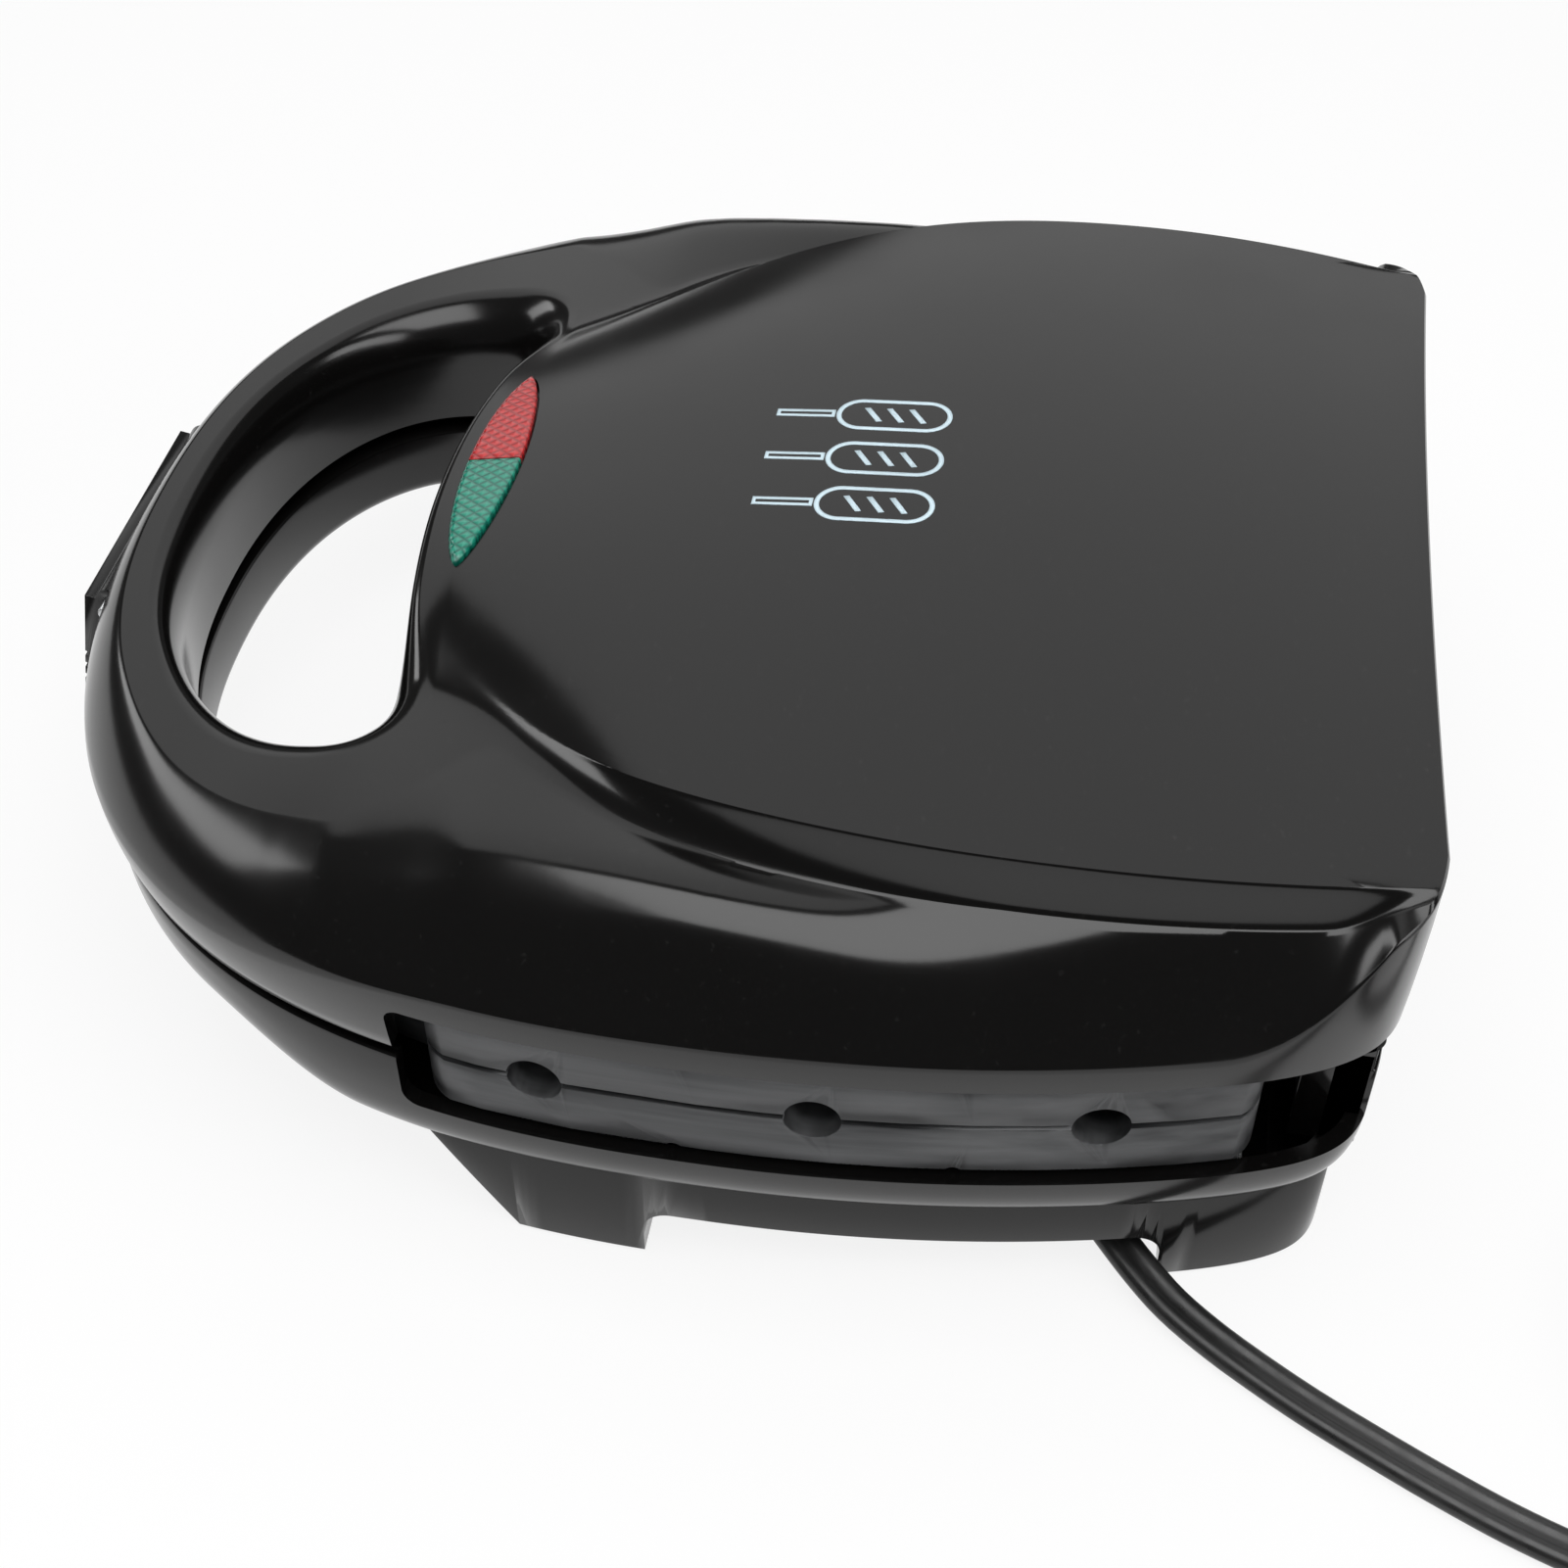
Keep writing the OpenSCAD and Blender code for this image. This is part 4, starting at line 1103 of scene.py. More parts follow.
@dataclass(frozen=True)
class Opening:
    """A side opening in millimetres: from x0 outwards, with two round corners at its front."""

    x0: float
    y0: float
    y1: float
    z0: float
    z1: float
    round_up: bool
    radius: float = 3.0

    def tool(self, side: Side, reach: float = 140.0) -> bpy.types.Object:
        """Cutter of the opening on one side.

        Args:
            side: Side of the housing.
            reach: How far out it goes.

        Returns:
            The cutter.
        """
        r, turns = self.radius, np.radians(np.linspace(0, 90, 9))
        arc = np.column_stack([self.y0 + r - r * np.sin(turns), np.cos(turns) * r])
        flat, end, up = (self.z0, self.z1, 1) if self.round_up else (self.z1, self.z0, -1)
        corner = [(y, end + up * (z - r)) for y, z in arc]
        loop = [(self.y1, flat), (self.y1, end), *corner, (self.y0, flat)]
        return side_tool("opening", side, (self.x0, reach), loop)


def skin_object(name: str, housing: Housing, rows: list[Array]) -> bpy.types.Object:
    """Closed skin of rows of points that run round the housing, in millimetres.

    Args:
        name: Name of the skin.
        housing: Housing whose columns the rows follow.
        rows: Rows of the right half.

    Returns:
        The closed skin.
    """
    ring = housing.around(np.array(rows))
    n_rows, n_columns = ring.shape[:2]
    faces = grid_faces(n_rows, n_columns, close_rows=True, close_columns=True)
    return outward(mesh_object(name, ring.reshape(-1, 3) * MM, faces))


@dataclass
class LidShell:
    """The lid's moulding: handle, rolled ring and raised panel, with its openings, ears and posts."""

    housing: Housing
    finish: bpy.types.Material
    lid_z: float = 47.5
    lip_inset: float = 1.5
    open_top: float = 59.2
    wall: float = 3.0
    hump_inset: float = 10.0
    hollow_y: float = -41.0
    hump_top: float = 65.65
    ceiling: float = 76.45
    gap_low: float = 61.0
    fillet: float = 0.7
    upper_back: float = 56.95
    column_x: float = 74.0
    ear_w: float = 9.5
    ear_gap: float = 0.5
    hinge: tuple[float, float] = (118.4, 52.0)
    ear_r: float = 3.6
    post_y: tuple[float, float] = (-11.0, 79.0)
    post_r: float = 4.5
    seat_r: float = 7.0
    seat_z: float = 70.25
    latch: tuple[float, float, float] = (51.0, -109.5, 62.5)

    def rows(self) -> list[Array]:
        """Rows of the skin of the right half, from the lip over the top and down into the finger gap.

        Returns:
            The rows in order.
        """
        h = self.housing
        j = h.columns()
        o, e = h.rim(j), h.edge(j)
        run = lerp(2.0, h.run_at(e[:, 1]), h.crease_share(j))
        foot = between(e, o, np.minimum(0.7, run / np.linalg.norm(e - o, axis=1)))
        zf = h.top_z(foot)
        zw = np.minimum(h.wall_top(o[:, 1]), zf - 0.8)
        way = np.linalg.norm(foot - o, axis=1)
        reach = way / h.shoulder_at(o[:, 1])

        def wall(u: Array) -> Array:
            """Row on the outer wall at a share of its height."""
            return lifted(h.rim_in(j, self.lip_inset * (1 - u) ** 2), lerp(self.lid_z, zw, u))

        def roll(u: Array) -> Array:
            """Row on the leaning side at a share of its way in."""
            return lifted(between(o, foot, u), h.ring_at(u, reach, o[:, 1], zw, zf))

        lip = ((0.6, 0.0), (0.17, 0.17))
        rows = [lifted(h.rim_in(j, self.lip_inset + d), self.lid_z + z) for d, z in lip]
        below = 1 - np.minimum(0.3, self.fillet / (zw - self.lid_z))
        above = np.minimum(0.15, 0.6 / way)
        rows += [wall(u * below) for u in np.linspace(0.05, 1.0, 6)]
        low, top, high = wall(below), lifted(o, zw), roll(above)
        for t in np.linspace(0.2, 1.0, 5):
            rows.append((1 - t) ** 2 * low + 2 * t * (1 - t) * top + t**2 * high)
        rows += [roll(lerp(above, 1.0, t)) for t in np.linspace(0, 1, 21)[1:] ** 1.25]
        return rows + self.top_rows(j, foot, e)

    def top_rows(self, j: Array, foot: Array, e: Array) -> list[Array]:
        """Rows from the foot of the step over the panel and down into the finger gap.

        Args:
            j: Numbers of the columns.
            foot: Foot of the step in each column.
            e: Edge of the panel in each column.

        Returns:
            The rows in order.
        """
        h = self.housing
        brow = h.gap_out(j, h.gap_roll(j))
        zb = h.top_z(brow)
        zh = lerp(self.gap_low, zb - 2.5, ease((h.gap_angle(j) - 100) / 60))

        def on_top(a: Array, b: Array, t: Array) -> Array:
            """Row on the top at a share of the way from a to b."""
            p = between(a, b, t)
            return lifted(p, h.top_z(p))

        back = 1 - np.minimum(0.3, self.fillet / np.linalg.norm(e - foot, axis=1))
        ahead = np.minimum(0.2, self.fillet / np.maximum(1.0, np.linalg.norm(brow - e, axis=1)))
        rows = [on_top(foot, e, back * t) for t in np.linspace(0.08, 1.0, 10)]
        low, top, high = on_top(foot, e, back), on_top(e, e, 0.0), on_top(e, brow, ahead)
        for t in np.linspace(0.2, 1.0, 5):
            rows.append((1 - t) ** 2 * low + 2 * t * (1 - t) * top + t**2 * high)
        rows += [on_top(e, brow, lerp(ahead, 1.0, t)) for t in np.linspace(0.03, 1.0, 32)]
        gap = h.gap(j)
        for a in np.radians(np.linspace(10, 90, 9)):
            rows.append(lifted(between(brow, gap, math.sin(a)), zh + (zb - zh) * math.cos(a)))
        for u in (0.3, 0.6, 0.96):
            rows.append(lifted(gap, lerp(zh, self.lid_z, u)))
        rows.append(lifted(h.gap_out(j, 0.5), self.lid_z))
        return rows

    def build(self) -> bpy.types.Object:
        """Builds the moulding.

        Returns:
            The moulding.
        """
        h = self.housing
        shell = skin_object("lid_moulding", h, self.rows())
        y = np.linspace(self.hollow_y, h.rear_y - 8, 40)
        half = np.column_stack([h.panel_x(y) - 2, y])
        panel = np.vstack([half, half[::-1] * (-1, 1)])
        low = self.lid_z - 1
        side = h.outline(self.lip_inset + self.wall, self.hollow_y) * MM
        humps = h.outline(self.hump_inset, self.hollow_y) * MM
        cut(
            shell,
            prism("side_hollow", side, low * MM, (self.upper_back + 4) * MM),
            prism("hump_hollow", humps, low * MM, self.hump_top * MM),
            prism("panel_hollow", panel * MM, low * MM, self.ceiling * MM),
        )
        opening = Opening(self.column_x - self.ear_gap, -34.5, h.rear_y + 5, low, self.open_top, True)
        cut(shell, opening.tool(Side.RIGHT), opening.tool(Side.LEFT), *self.pockets())
        shell = joined("lid_shell_skin", [shell, *self.ears(), *self.posts()])
        return sharpened(placed(shell), 32)

    def pockets(self) -> list[bpy.types.Object]:
        """Cutters of the lens window and of the latch's pocket.

        Returns:
            The cutters.
        """
        w, y, z = self.latch
        half = w / 2 + 0.6
        low, high = (-half * MM, -0.13, (self.lid_z - 1) * MM), (half * MM, (y + 3.7) * MM, (z + 3.7) * MM)
        pocket = box("pocket", low, high)
        end = (w / 2 + 4) * MM
        pin = rod("pin", (-end, y * MM, z * MM), (end, y * MM, z * MM), 1.5 * MM)
        lens = LensPair(self.housing)
        return [lens.leaf(0.25, -lens.thick, lens.thick), lens.leaf(-1.4, -lens.thick - 14, 0.0), pocket, pin]

    def ears(self) -> list[bpy.types.Object]:
        """Hinge ears, one at each column.

        Returns:
            The new parts.
        """
        y, z = self.hinge
        x0, x1 = self.column_x - self.ear_gap - self.ear_w, self.column_x - self.ear_gap
        made = []
        for side in Side:
            a, b = sorted((side.value * x0, side.value * x1))
            low, high = (a, y - self.ear_r, z), (b, y + self.ear_r, self.ceiling + 1)
            made.append(box("ear", [c * MM for c in low], [c * MM for c in high]))
            made.append(rod("ear_end", (a * MM, y * MM, z * MM), (b * MM, y * MM, z * MM), self.ear_r * MM))
        return made

    def posts(self) -> list[bpy.types.Object]:
        """Posts that carry the upper plate.

        Returns:
            The new parts.
        """
        made = []
        for y in self.post_y:
            top = (self.ceiling + 1) * MM
            made.append(rod("post", (0, y * MM, self.upper_back * MM), (0, y * MM, top), self.post_r * MM))
            made.append(rod("seat", (0, y * MM, self.seat_z * MM), (0, y * MM, top), self.seat_r * MM))
        return made

    def dress(self, shell: bpy.types.Object) -> None:
        """Gives the moulding its finish and its body."""
        seat(shell, Body.LID, "shell_black", self.finish, "lid_shell")


@dataclass
class BaseShell:
    """The base's moulding: tub with feet, rim, lower half of the handle, hinge columns and cord block."""

    housing: Housing
    finish: bpy.types.Material
    base_top: float = 44.3
    base_inset: float = 2.0
    rim_z: float = 22.0
    rim_floor: float = 26.0
    rim_roll: tuple[float, float] = (6.0, 12.0)
    rim_power: float = 0.8
    gap_roll: tuple[float, float] = (5.0, 4.0)
    under_span: Span = Span(-75.0, -45.0)
    grip_z: float = 29.0
    tub_inset: float = 5.5
    tub_z: float = 12.0
    floor_t: float = 3.0
    wall: float = 3.0
    hollow_y: float = -41.0
    tub_y: float = -23.5
    open_low: float = 33.0
    foot_w: float = 30.0
    foot_front: float = -6.0
    foot_rear: float = 92.0
    foot_len: float = 22.0
    foot_lean: float = 35.0
    pad_h: float = 1.6
    column_x: float = 74.0
    column_w: float = 8.0
    column_d: float = 12.0
    hinge: tuple[float, float] = (118.4, 52.0)
    column_r: float = 3.6
    rib: tuple[float, float, float] = (92.0, 2.0, 2.6)
    lower_back: float = 34.85
    block_at: tuple[float, float] = (62.0, 57.5)
    block_turn: float = 40.7
    block: tuple[float, float] = (16.0, 20.0)
    block_low: float = 1.2
    post_y: tuple[float, float] = (-11.0, 79.0)
    post_r: float = 4.5
    seat_r: float = 7.0
    seat_z: float = 21.55
    pads: tuple[tuple[float, float], tuple[float, float]] = ((95.0, -6.0), (84.5, 104.0))
    pad_r: float = 6.0
    latch: tuple[float, float, float] = (51.0, -109.5, 37.5)

    def under(self, y: Array) -> Array:
        """Height of the rim's lower edge."""
        return lerp(self.grip_z, self.rim_z, self.under_span.share(y))

    def rows(self) -> list[Array]:
        """Rows of the skin of the right half, from under the rim up its side and down into the finger gap.

        Returns:
            The rows in order.
        """
        h = self.housing
        j = h.columns()
        zo, gap_y = self.under(h.rim(j)[:, 1]), h.gap(j)[:, 1]
        zi = self.under(gap_y)
        rows = []
        for a in np.radians(np.linspace(0, 90, 16)):
            d = self.rim_roll[0] * (1 - math.sin(a) ** self.rim_power)
            z = self.rim_roll[1] * (1 - math.cos(a) ** self.rim_power)
            rows.append(lifted(h.rim_in(j, self.base_inset + d), zo + z))
        for d, z in ((0.0, -0.6), (0.17, -0.17), (0.6, 0.0)):
            rows.append(lifted(h.rim_in(j, self.base_inset + d), self.base_top + z))
        for d, z in ((0.6, 0.0), (0.17, -0.17), (0.0, -0.6)):
            rows.append(lifted(h.gap_out(j, d), self.base_top + z))
        for a in np.radians(np.linspace(0, 90, 10)):
            d, z = self.gap_roll[0] * (1 - math.cos(a)), self.gap_roll[1] * (1 - math.sin(a))
            rows.append(lifted(h.gap_out(j, d), zi + z))
        return rows

    def tub(self) -> bpy.types.Object:
        """Tub with its four feet.

        Returns:
            The tub.
        """
        h = self.housing
        around = h.outline(self.tub_inset, self.hollow_y - self.wall)
        tub = prism("tub", around * MM, self.pad_h / 2 * MM, (self.rim_z + 1) * MM)
        back, top = self.foot_front + self.foot_len / 2, self.foot_front - self.foot_len / 2
        lean = box("lean", (-0.12, -0.09, -0.03), (0.12, 0.0, 0.06))
        turn = Matrix.Rotation(math.radians(self.foot_lean), 4, "X")
        lean.data.transform(Matrix.Translation((0, top * MM, 0)) @ turn)
        arch = Opening(22.0, back, self.foot_rear, -1.0, self.tub_z, True, 5.0)
        half = h.half_w - self.tub_inset - self.foot_w
        middle = box("middle", (-half * MM, -0.12, -0.001), (half * MM, 0.14, self.tub_z * MM))
        cut(tub, lean, self.arch(Side.RIGHT, arch), self.arch(Side.LEFT, arch), middle)
        return bevelled(tub, 0.8 * MM)

    def arch(self, side: Side, opening: Opening) -> bpy.types.Object:
        """Cutter of the arch between a front and a rear foot.

        Args:
            side: Side of the housing.
            opening: Size of the arch.

        Returns:
            The cutter.
        """
        r, turns = opening.radius, np.radians(np.linspace(0, 90, 13))
        near = [(opening.y0 + r - r * math.cos(a), self.tub_z - r + r * math.sin(a)) for a in turns]
        far = [(opening.y1 - r + r * math.sin(a), self.tub_z - r + r * math.cos(a)) for a in turns]
        loop = [(opening.y0, opening.z0), *near, *far, (opening.y1, opening.z0)]
        return side_tool("arch", side, (opening.x0, self.housing.half_w + 10), loop)

    def hollows(self) -> list[bpy.types.Object]:
        """Cutters of the inside.

        Returns:
            The cutters.
        """
        h, floor, top = self.housing, self.tub_z + self.floor_t, (self.base_top + 1) * MM
        tub = h.outline(self.tub_inset + self.wall, self.tub_y) * MM
        rim = h.outline(self.base_inset + self.wall, self.hollow_y) * MM
        return [prism("tub_hollow", tub, floor * MM, top), prism("rim_hollow", rim, self.rim_floor * MM, top)]

    def recesses(self) -> list[bpy.types.Object]:
        """Cutters of the side openings, the hinge's room and the latch's recess.

        Returns:
            The cutters.
        """
        rear = self.hinge[0] - self.column_r
        opening = Opening(self.column_x - 10, -34.5, rear - 0.5, self.open_low, self.base_top + 1, False)
        w, y, z = self.latch
        half = (w / 2 + 0.6) * MM
        tools = [
            opening.tool(Side.RIGHT),
            opening.tool(Side.LEFT),
            box("rear", (-self.column_x * MM, (rear - 0.5) * MM, 0.042), (self.column_x * MM, 0.145, 0.052)),
            box("hook", (-half, -0.13, (z - 1.5) * MM), (half, (y + 3.7) * MM, (z + 3.6) * MM)),
            box("blade", (-half, -0.13, (z - 1.5) * MM), (half, (y - 1.8) * MM, (self.base_top + 2) * MM)),
        ]
        for side in Side:
            a, b = sorted((side.value * (self.column_x + self.column_w), side.value * 140.0))
            tools.append(box("end", (a * MM, (rear - 1) * MM, self.open_low * MM), (b * MM, 0.155, 0.063)))
        return tools

    def columns(self) -> list[bpy.types.Object]:
        """Hinge columns, each a round head on a neck and a deeper block.

        Returns:
            The new parts.
        """
        y, z = self.hinge
        r, low, made = self.column_r, self.rim_z + 3, []
        for side in Side:
            a, b = sorted((side.value * self.column_x, side.value * (self.column_x + self.column_w)))
            stages = (("column_block", y + r - self.column_d, z - r), ("column_neck", y - r, z))
            for name, front, top in stages:
                part = box(name, [c * MM for c in (a, front, low)], [c * MM for c in (b, y + r - 0.6, top)])
                made.append(bevelled(part, 0.5 * MM))
            made.append(rod("column_head", (a * MM, y * MM, z * MM), (b * MM, y * MM, z * MM), r * MM))
        return made

    def seam_rib(self) -> bpy.types.Object:
        """Rib that closes the seam in front of the plates.

        Returns:
            The rib.
        """
        w, t, high = self.rib
        y = self.hollow_y - t - 1
        low = (-w * MM, y * MM, (self.base_top - 1) * MM)
        return bevelled(box("seam_rib", low, (w * MM, (y + t) * MM, (self.base_top + high) * MM)), 0.4 * MM)

    def posts(self) -> list[bpy.types.Object]:
        """Posts that carry the lower plate.

        Returns:
            The new parts.
        """
        made = []
        for y in self.post_y:
            low = (self.tub_z + self.floor_t - 1) * MM
            made.append(rod("post", (0, y * MM, low), (0, y * MM, self.lower_back * MM), self.post_r * MM))
            made.append(rod("seat", (0, y * MM, low), (0, y * MM, self.seat_z * MM), self.seat_r * MM))
        return made

    def cord_block(self) -> bpy.types.Object:
        """Block under the tub that the cord comes out of.

        Returns:
            The block.
        """
        deep, wide = self.block
        block = box("block", (-deep * MM, -wide / 2 * MM, self.block_low * MM), (0, wide / 2 * MM, 0.013))
        turn = Matrix.Rotation(math.radians(self.block_turn), 4, "Z")
        block.data.transform(Matrix.Translation((self.block_at[0] * MM, self.block_at[1] * MM, 0)) @ turn)
        return bevelled(block, 0.8 * MM)

    def build(self) -> bpy.types.Object:
        """Builds the moulding.

        Returns:
            The moulding.
        """
        shell = skin_object("base_moulding", self.housing, self.rows())
        cut(shell, *self.hollows(), *self.recesses())
        tub = self.tub()
        cut(tub, *self.hollows())
        pads = [(x * s.value * MM, y * MM) for s in Side for x, y in self.pads]
        cut(tub, *[rod("pad", (x, y, -0.001), (x, y, self.pad_h * MM), self.pad_r * MM) for x, y in pads])
        parts = [shell, tub, *self.columns(), *self.posts(), self.seam_rib(), self.cord_block()]
        base = joined("base_shell_skin", parts)
        return sharpened(placed(base), 32)

    def dress(self, shell: bpy.types.Object) -> None:
        """Gives the moulding its finish and its body."""
        seat(shell, Body.BASE, "shell_black", self.finish, "base_shell")


@dataclass
class LensPair:
    """The lens window of the panel, in millimetres: a leaf split in the middle."""

    housing: Housing
    y: float = -42.0
    half: float = 28.0
    rise: float = 5.2
    thick: float = 3.4
    tilt: float = 11.5
    proud: float = 0.45
    crown: float = 1.2
    fullness: float = 0.7

    def width(self, x: Array, d: float) -> Array:
        """Half width of the leaf grown by d, with round tips."""
        return (self.rise + d) * np.maximum(0.0, 1 - (x / (self.half + d)) ** 2) ** self.fullness

    def outline(self, d: float, n: int = 64) -> Array:
        """Leaf outline grown by d, anticlockwise, about its own middle.

        Args:
            d: Growth.
            n: Points on one side.

        Returns:
            Plan points of the leaf's own frame.
        """
        x = (self.half + d) * np.cos(np.linspace(0, math.pi, n))
        upper = np.column_stack([x, self.width(x, d)])
        return np.vstack([upper, (upper * (1, -1))[-2:0:-1]])

    def place(self) -> Matrix:
        """Frame of the window's rim."""
        z = float(self.housing.crown(np.array([0.0, self.y]))) + self.proud
        return Matrix.Translation((0, self.y * MM, z * MM)) @ Matrix.Rotation(math.radians(self.tilt), 4, "X")

    def leaf(self, d: float, z0: float, z1: float) -> bpy.types.Object:
        """Solid leaf between two heights of its own frame.

        Args:
            d: Growth of the outline.
            z0: Height of its foot.
            z1: Height of its top.

        Returns:
            The leaf.
        """
        leaf = prism("leaf", self.outline(d) * MM, z0 * MM, z1 * MM)
        leaf.data.transform(self.place())
        return leaf

    def half_leaf(self, side: Side, name: str) -> bpy.types.Object:
        """One half of the leaf, with a top that follows the panel and rolls over at its edge.

        Args:
            side: Side of the housing.
            name: Name of the piece.

        Returns:
            The closed half.
        """
        along = np.sin(np.linspace(0, math.pi / 2, 40))
        across = np.sin(np.linspace(-math.pi / 2, math.pi / 2, 33))
        x = lerp(0.15, self.half - 0.02, along)[:, None]
        flat_y = self.width(x, 0.0) * across[None, :]
        turn = math.radians(self.tilt)
        y = self.y + flat_y * math.cos(turn)
        inner = np.clip((self.width(x, 0.0) * (1 - np.abs(across[None, :]))) / 1.1, 0, 1)
        ends = np.clip((x - 0.15) / 0.5, 0, 1) * np.ones_like(inner)
        roll = np.sqrt(1 - (1 - np.minimum(inner, 0.35 + 0.65 * ends)) ** 2)
        spot = np.stack([np.broadcast_to(x, y.shape), y], axis=-1)
        top = self.housing.crown(spot) + self.crown * lerp(0.3, 1.0, roll)
        rim_z = self.housing.crown(np.array([0.0, self.y])) + self.proud
        below = rim_z - self.thick + flat_y * math.sin(turn)
        rows, columns = y.shape
        grid = [np.stack([side.value * spot[..., 0], y, z], axis=-1).reshape(-1, 3) for z in (top, below)]
        up = grid_faces(rows, columns, close_rows=False, close_columns=False)
        count = rows * columns
        faces = up + [tuple(count + k for k in reversed(f)) for f in up]
        loop = [*range(columns), *range(2 * columns - 1, count, columns)]
        loop += [*range(count - 2, count - columns - 1, -1), *range(count - 2 * columns, 0, -columns)]
        faces += [(a, b, count + b, count + a) for a, b in zip(loop, loop[1:] + loop[:1])]
        return outward(mesh_object(name, np.vstack(grid) * MM, faces))

    def build(self, side: Side, node: str, finish: bpy.types.Material, slot: str) -> None:
        """Builds the lens on one side."""
        lens = sharpened(placed(self.half_leaf(side, node + "_look")), 40)
        seat(lens, Body.LID, slot, finish, node)


# Repeats and paths: geometry node trees


class Tree:
    """A geometry node tree that is built in code and turned into plain mesh."""

    def __init__(self, name: str, inputs: Sequence[tuple[str, str]]) -> None:
        """Starts a tree with a geometry socket and named inputs.

        Args:
            name: Name of the tree.
            inputs: Name and socket type of each input.
        """
        self.group = bpy.data.node_groups.new(name, "GeometryNodeTree")
        face = self.group.interface
        face.new_socket("Geometry", in_out="INPUT", socket_type="NodeSocketGeometry")
        for label, kind in inputs:
            face.new_socket(label, in_out="INPUT", socket_type=kind)
        face.new_socket("Geometry", in_out="OUTPUT", socket_type="NodeSocketGeometry")
        self.source = self.group.nodes.new("NodeGroupInput")
        self.result = self.group.nodes.new("NodeGroupOutput")

    def node(self, kind: str, **links: object) -> bpy.types.Node:
        """New node; a socket links it, any other value is set on the input of that name.

        Args:
            kind: Type of the node.
            links: Inputs by name, with an underscore for a space.

        Returns:
            The node.
        """
        made = self.group.nodes.new(kind)
        for key, value in links.items():
            socket = made.inputs[key.replace("_", " ")]
            if isinstance(value, bpy.types.NodeSocket):
                self.group.links.new(value, socket)
            else:
                socket.default_value = value
        return made

    def give(self, name: str) -> bpy.types.NodeSocket:
        """Socket of a named input."""
        return self.source.outputs[name]

    def end(self, geometry: bpy.types.NodeSocket) -> None:
        """Closes the tree with real geometry and its finish.

        Args:
            geometry: Geometry that the tree gives.
        """
        real = self.node("GeometryNodeRealizeInstances", Geometry=geometry)
        painted = self.node("GeometryNodeSetMaterial", Geometry=real.outputs[0], Material=self.give("Finish"))
        self.group.links.new(painted.outputs[0], self.result.inputs["Geometry"])

    def grow(self, name: str, carrier: bpy.types.Object, **values: object) -> bpy.types.Object:
        """Runs the tree on an object and keeps the result as a mesh object.

        Args:
            name: Name of the new object.
            carrier: Object whose geometry goes in; it is deleted.
            values: Inputs by name, with an underscore for a space.

        Returns:
            The new object at the origin.
        """
        modifier = carrier.modifiers.new("grow", "NODES")
        modifier.node_group = self.group
        names = {s.name: s.identifier for s in self.group.interface.items_tree if s.in_out == "INPUT"}
        for key, value in values.items():
            modifier[names[key.replace("_", " ")]] = value
        graph = bpy.context.evaluated_depsgraph_get()
        mesh = bpy.data.meshes.new_from_object(carrier.evaluated_get(graph), depsgraph=graph)
        remove(carrier)
        made = bpy.data.objects.new(name, mesh)
        bpy.context.scene.collection.objects.link(made)
        return made


def row_tree() -> Tree:
    """Tree that repeats a piece along a line, each copy a little smaller or larger than the last.

    Returns:
        The tree.
    """
    tree = Tree(
        "repeat_along_a_line",
        [
            ("Count", "NodeSocketInt"),
            ("Start", "NodeSocketVector"),
            ("Step", "NodeSocketVector"),
            ("First Scale", "NodeSocketFloat"),
            ("Last Scale", "NodeSocketFloat"),
            ("Finish", "NodeSocketMaterial"),
        ],
    )
    line = tree.node("GeometryNodeMeshLine", Count=tree.give("Count"), Offset=tree.give("Step"))
    tree.group.links.new(tree.give("Start"), line.inputs["Start Location"])
    index = tree.node("GeometryNodeInputIndex")
    share = tree.node("ShaderNodeMapRange", Value=index.outputs[0])
    tree.group.links.new(tree.give("Count"), share.inputs["From Max"])
    tree.group.links.new(tree.give("First Scale"), share.inputs["To Min"])
    tree.group.links.new(tree.give("Last Scale"), share.inputs["To Max"])
    copies = tree.node("GeometryNodeInstanceOnPoints", Points=line.outputs[0], Instance=tree.give("Geometry"))
    tree.group.links.new(share.outputs["Result"], copies.inputs["Scale"])
    tree.end(copies.outputs[0])
    return tree


def sweep_tree() -> Tree:
    """Tree that carries a level section along a path.

    Returns:
        The tree.
    """
    tree = Tree("sweep_along_a_path", [("Section", "NodeSocketObject"), ("Finish", "NodeSocketMaterial")])
    level = tree.node("GeometryNodeSetCurveNormal", Curve=tree.give("Geometry"))
    level.mode = "Z_UP"
    section = tree.node("GeometryNodeObjectInfo", Object=tree.give("Section"))
    swept = tree.node("GeometryNodeCurveToMesh", Curve=level.outputs[0])
    tree.group.links.new(section.outputs["Geometry"], swept.inputs["Profile Curve"])
    swept.inputs["Fill Caps"].default_value = True
    smooth = tree.node("GeometryNodeSetShadeSmooth", Geometry=swept.outputs[0])
    tree.end(smooth.outputs[0])
    return tree


def polyline(name: str, lines: Sequence[Array], closed: bool) -> bpy.types.Object:
    """Curve object of one or more lines of straight pieces through the points.

    Args:
        name: Name of the curve.
        lines: Points of each line.
        closed: Whether each line closes.

    Returns:
        The curve object, linked to the scene.
    """
    data = bpy.data.curves.new(name, "CURVE")
    data.dimensions = "3D"
    for points in lines:
        spline = data.splines.new("POLY")
        spline.points.add(len(points) - 1)
        for point, at in zip(spline.points, points):
            point.co = (*map(float, at), 1.0)
        spline.use_cyclic_u = closed
    obj = bpy.data.objects.new(name, data)
    bpy.context.scene.collection.objects.link(obj)
    return obj


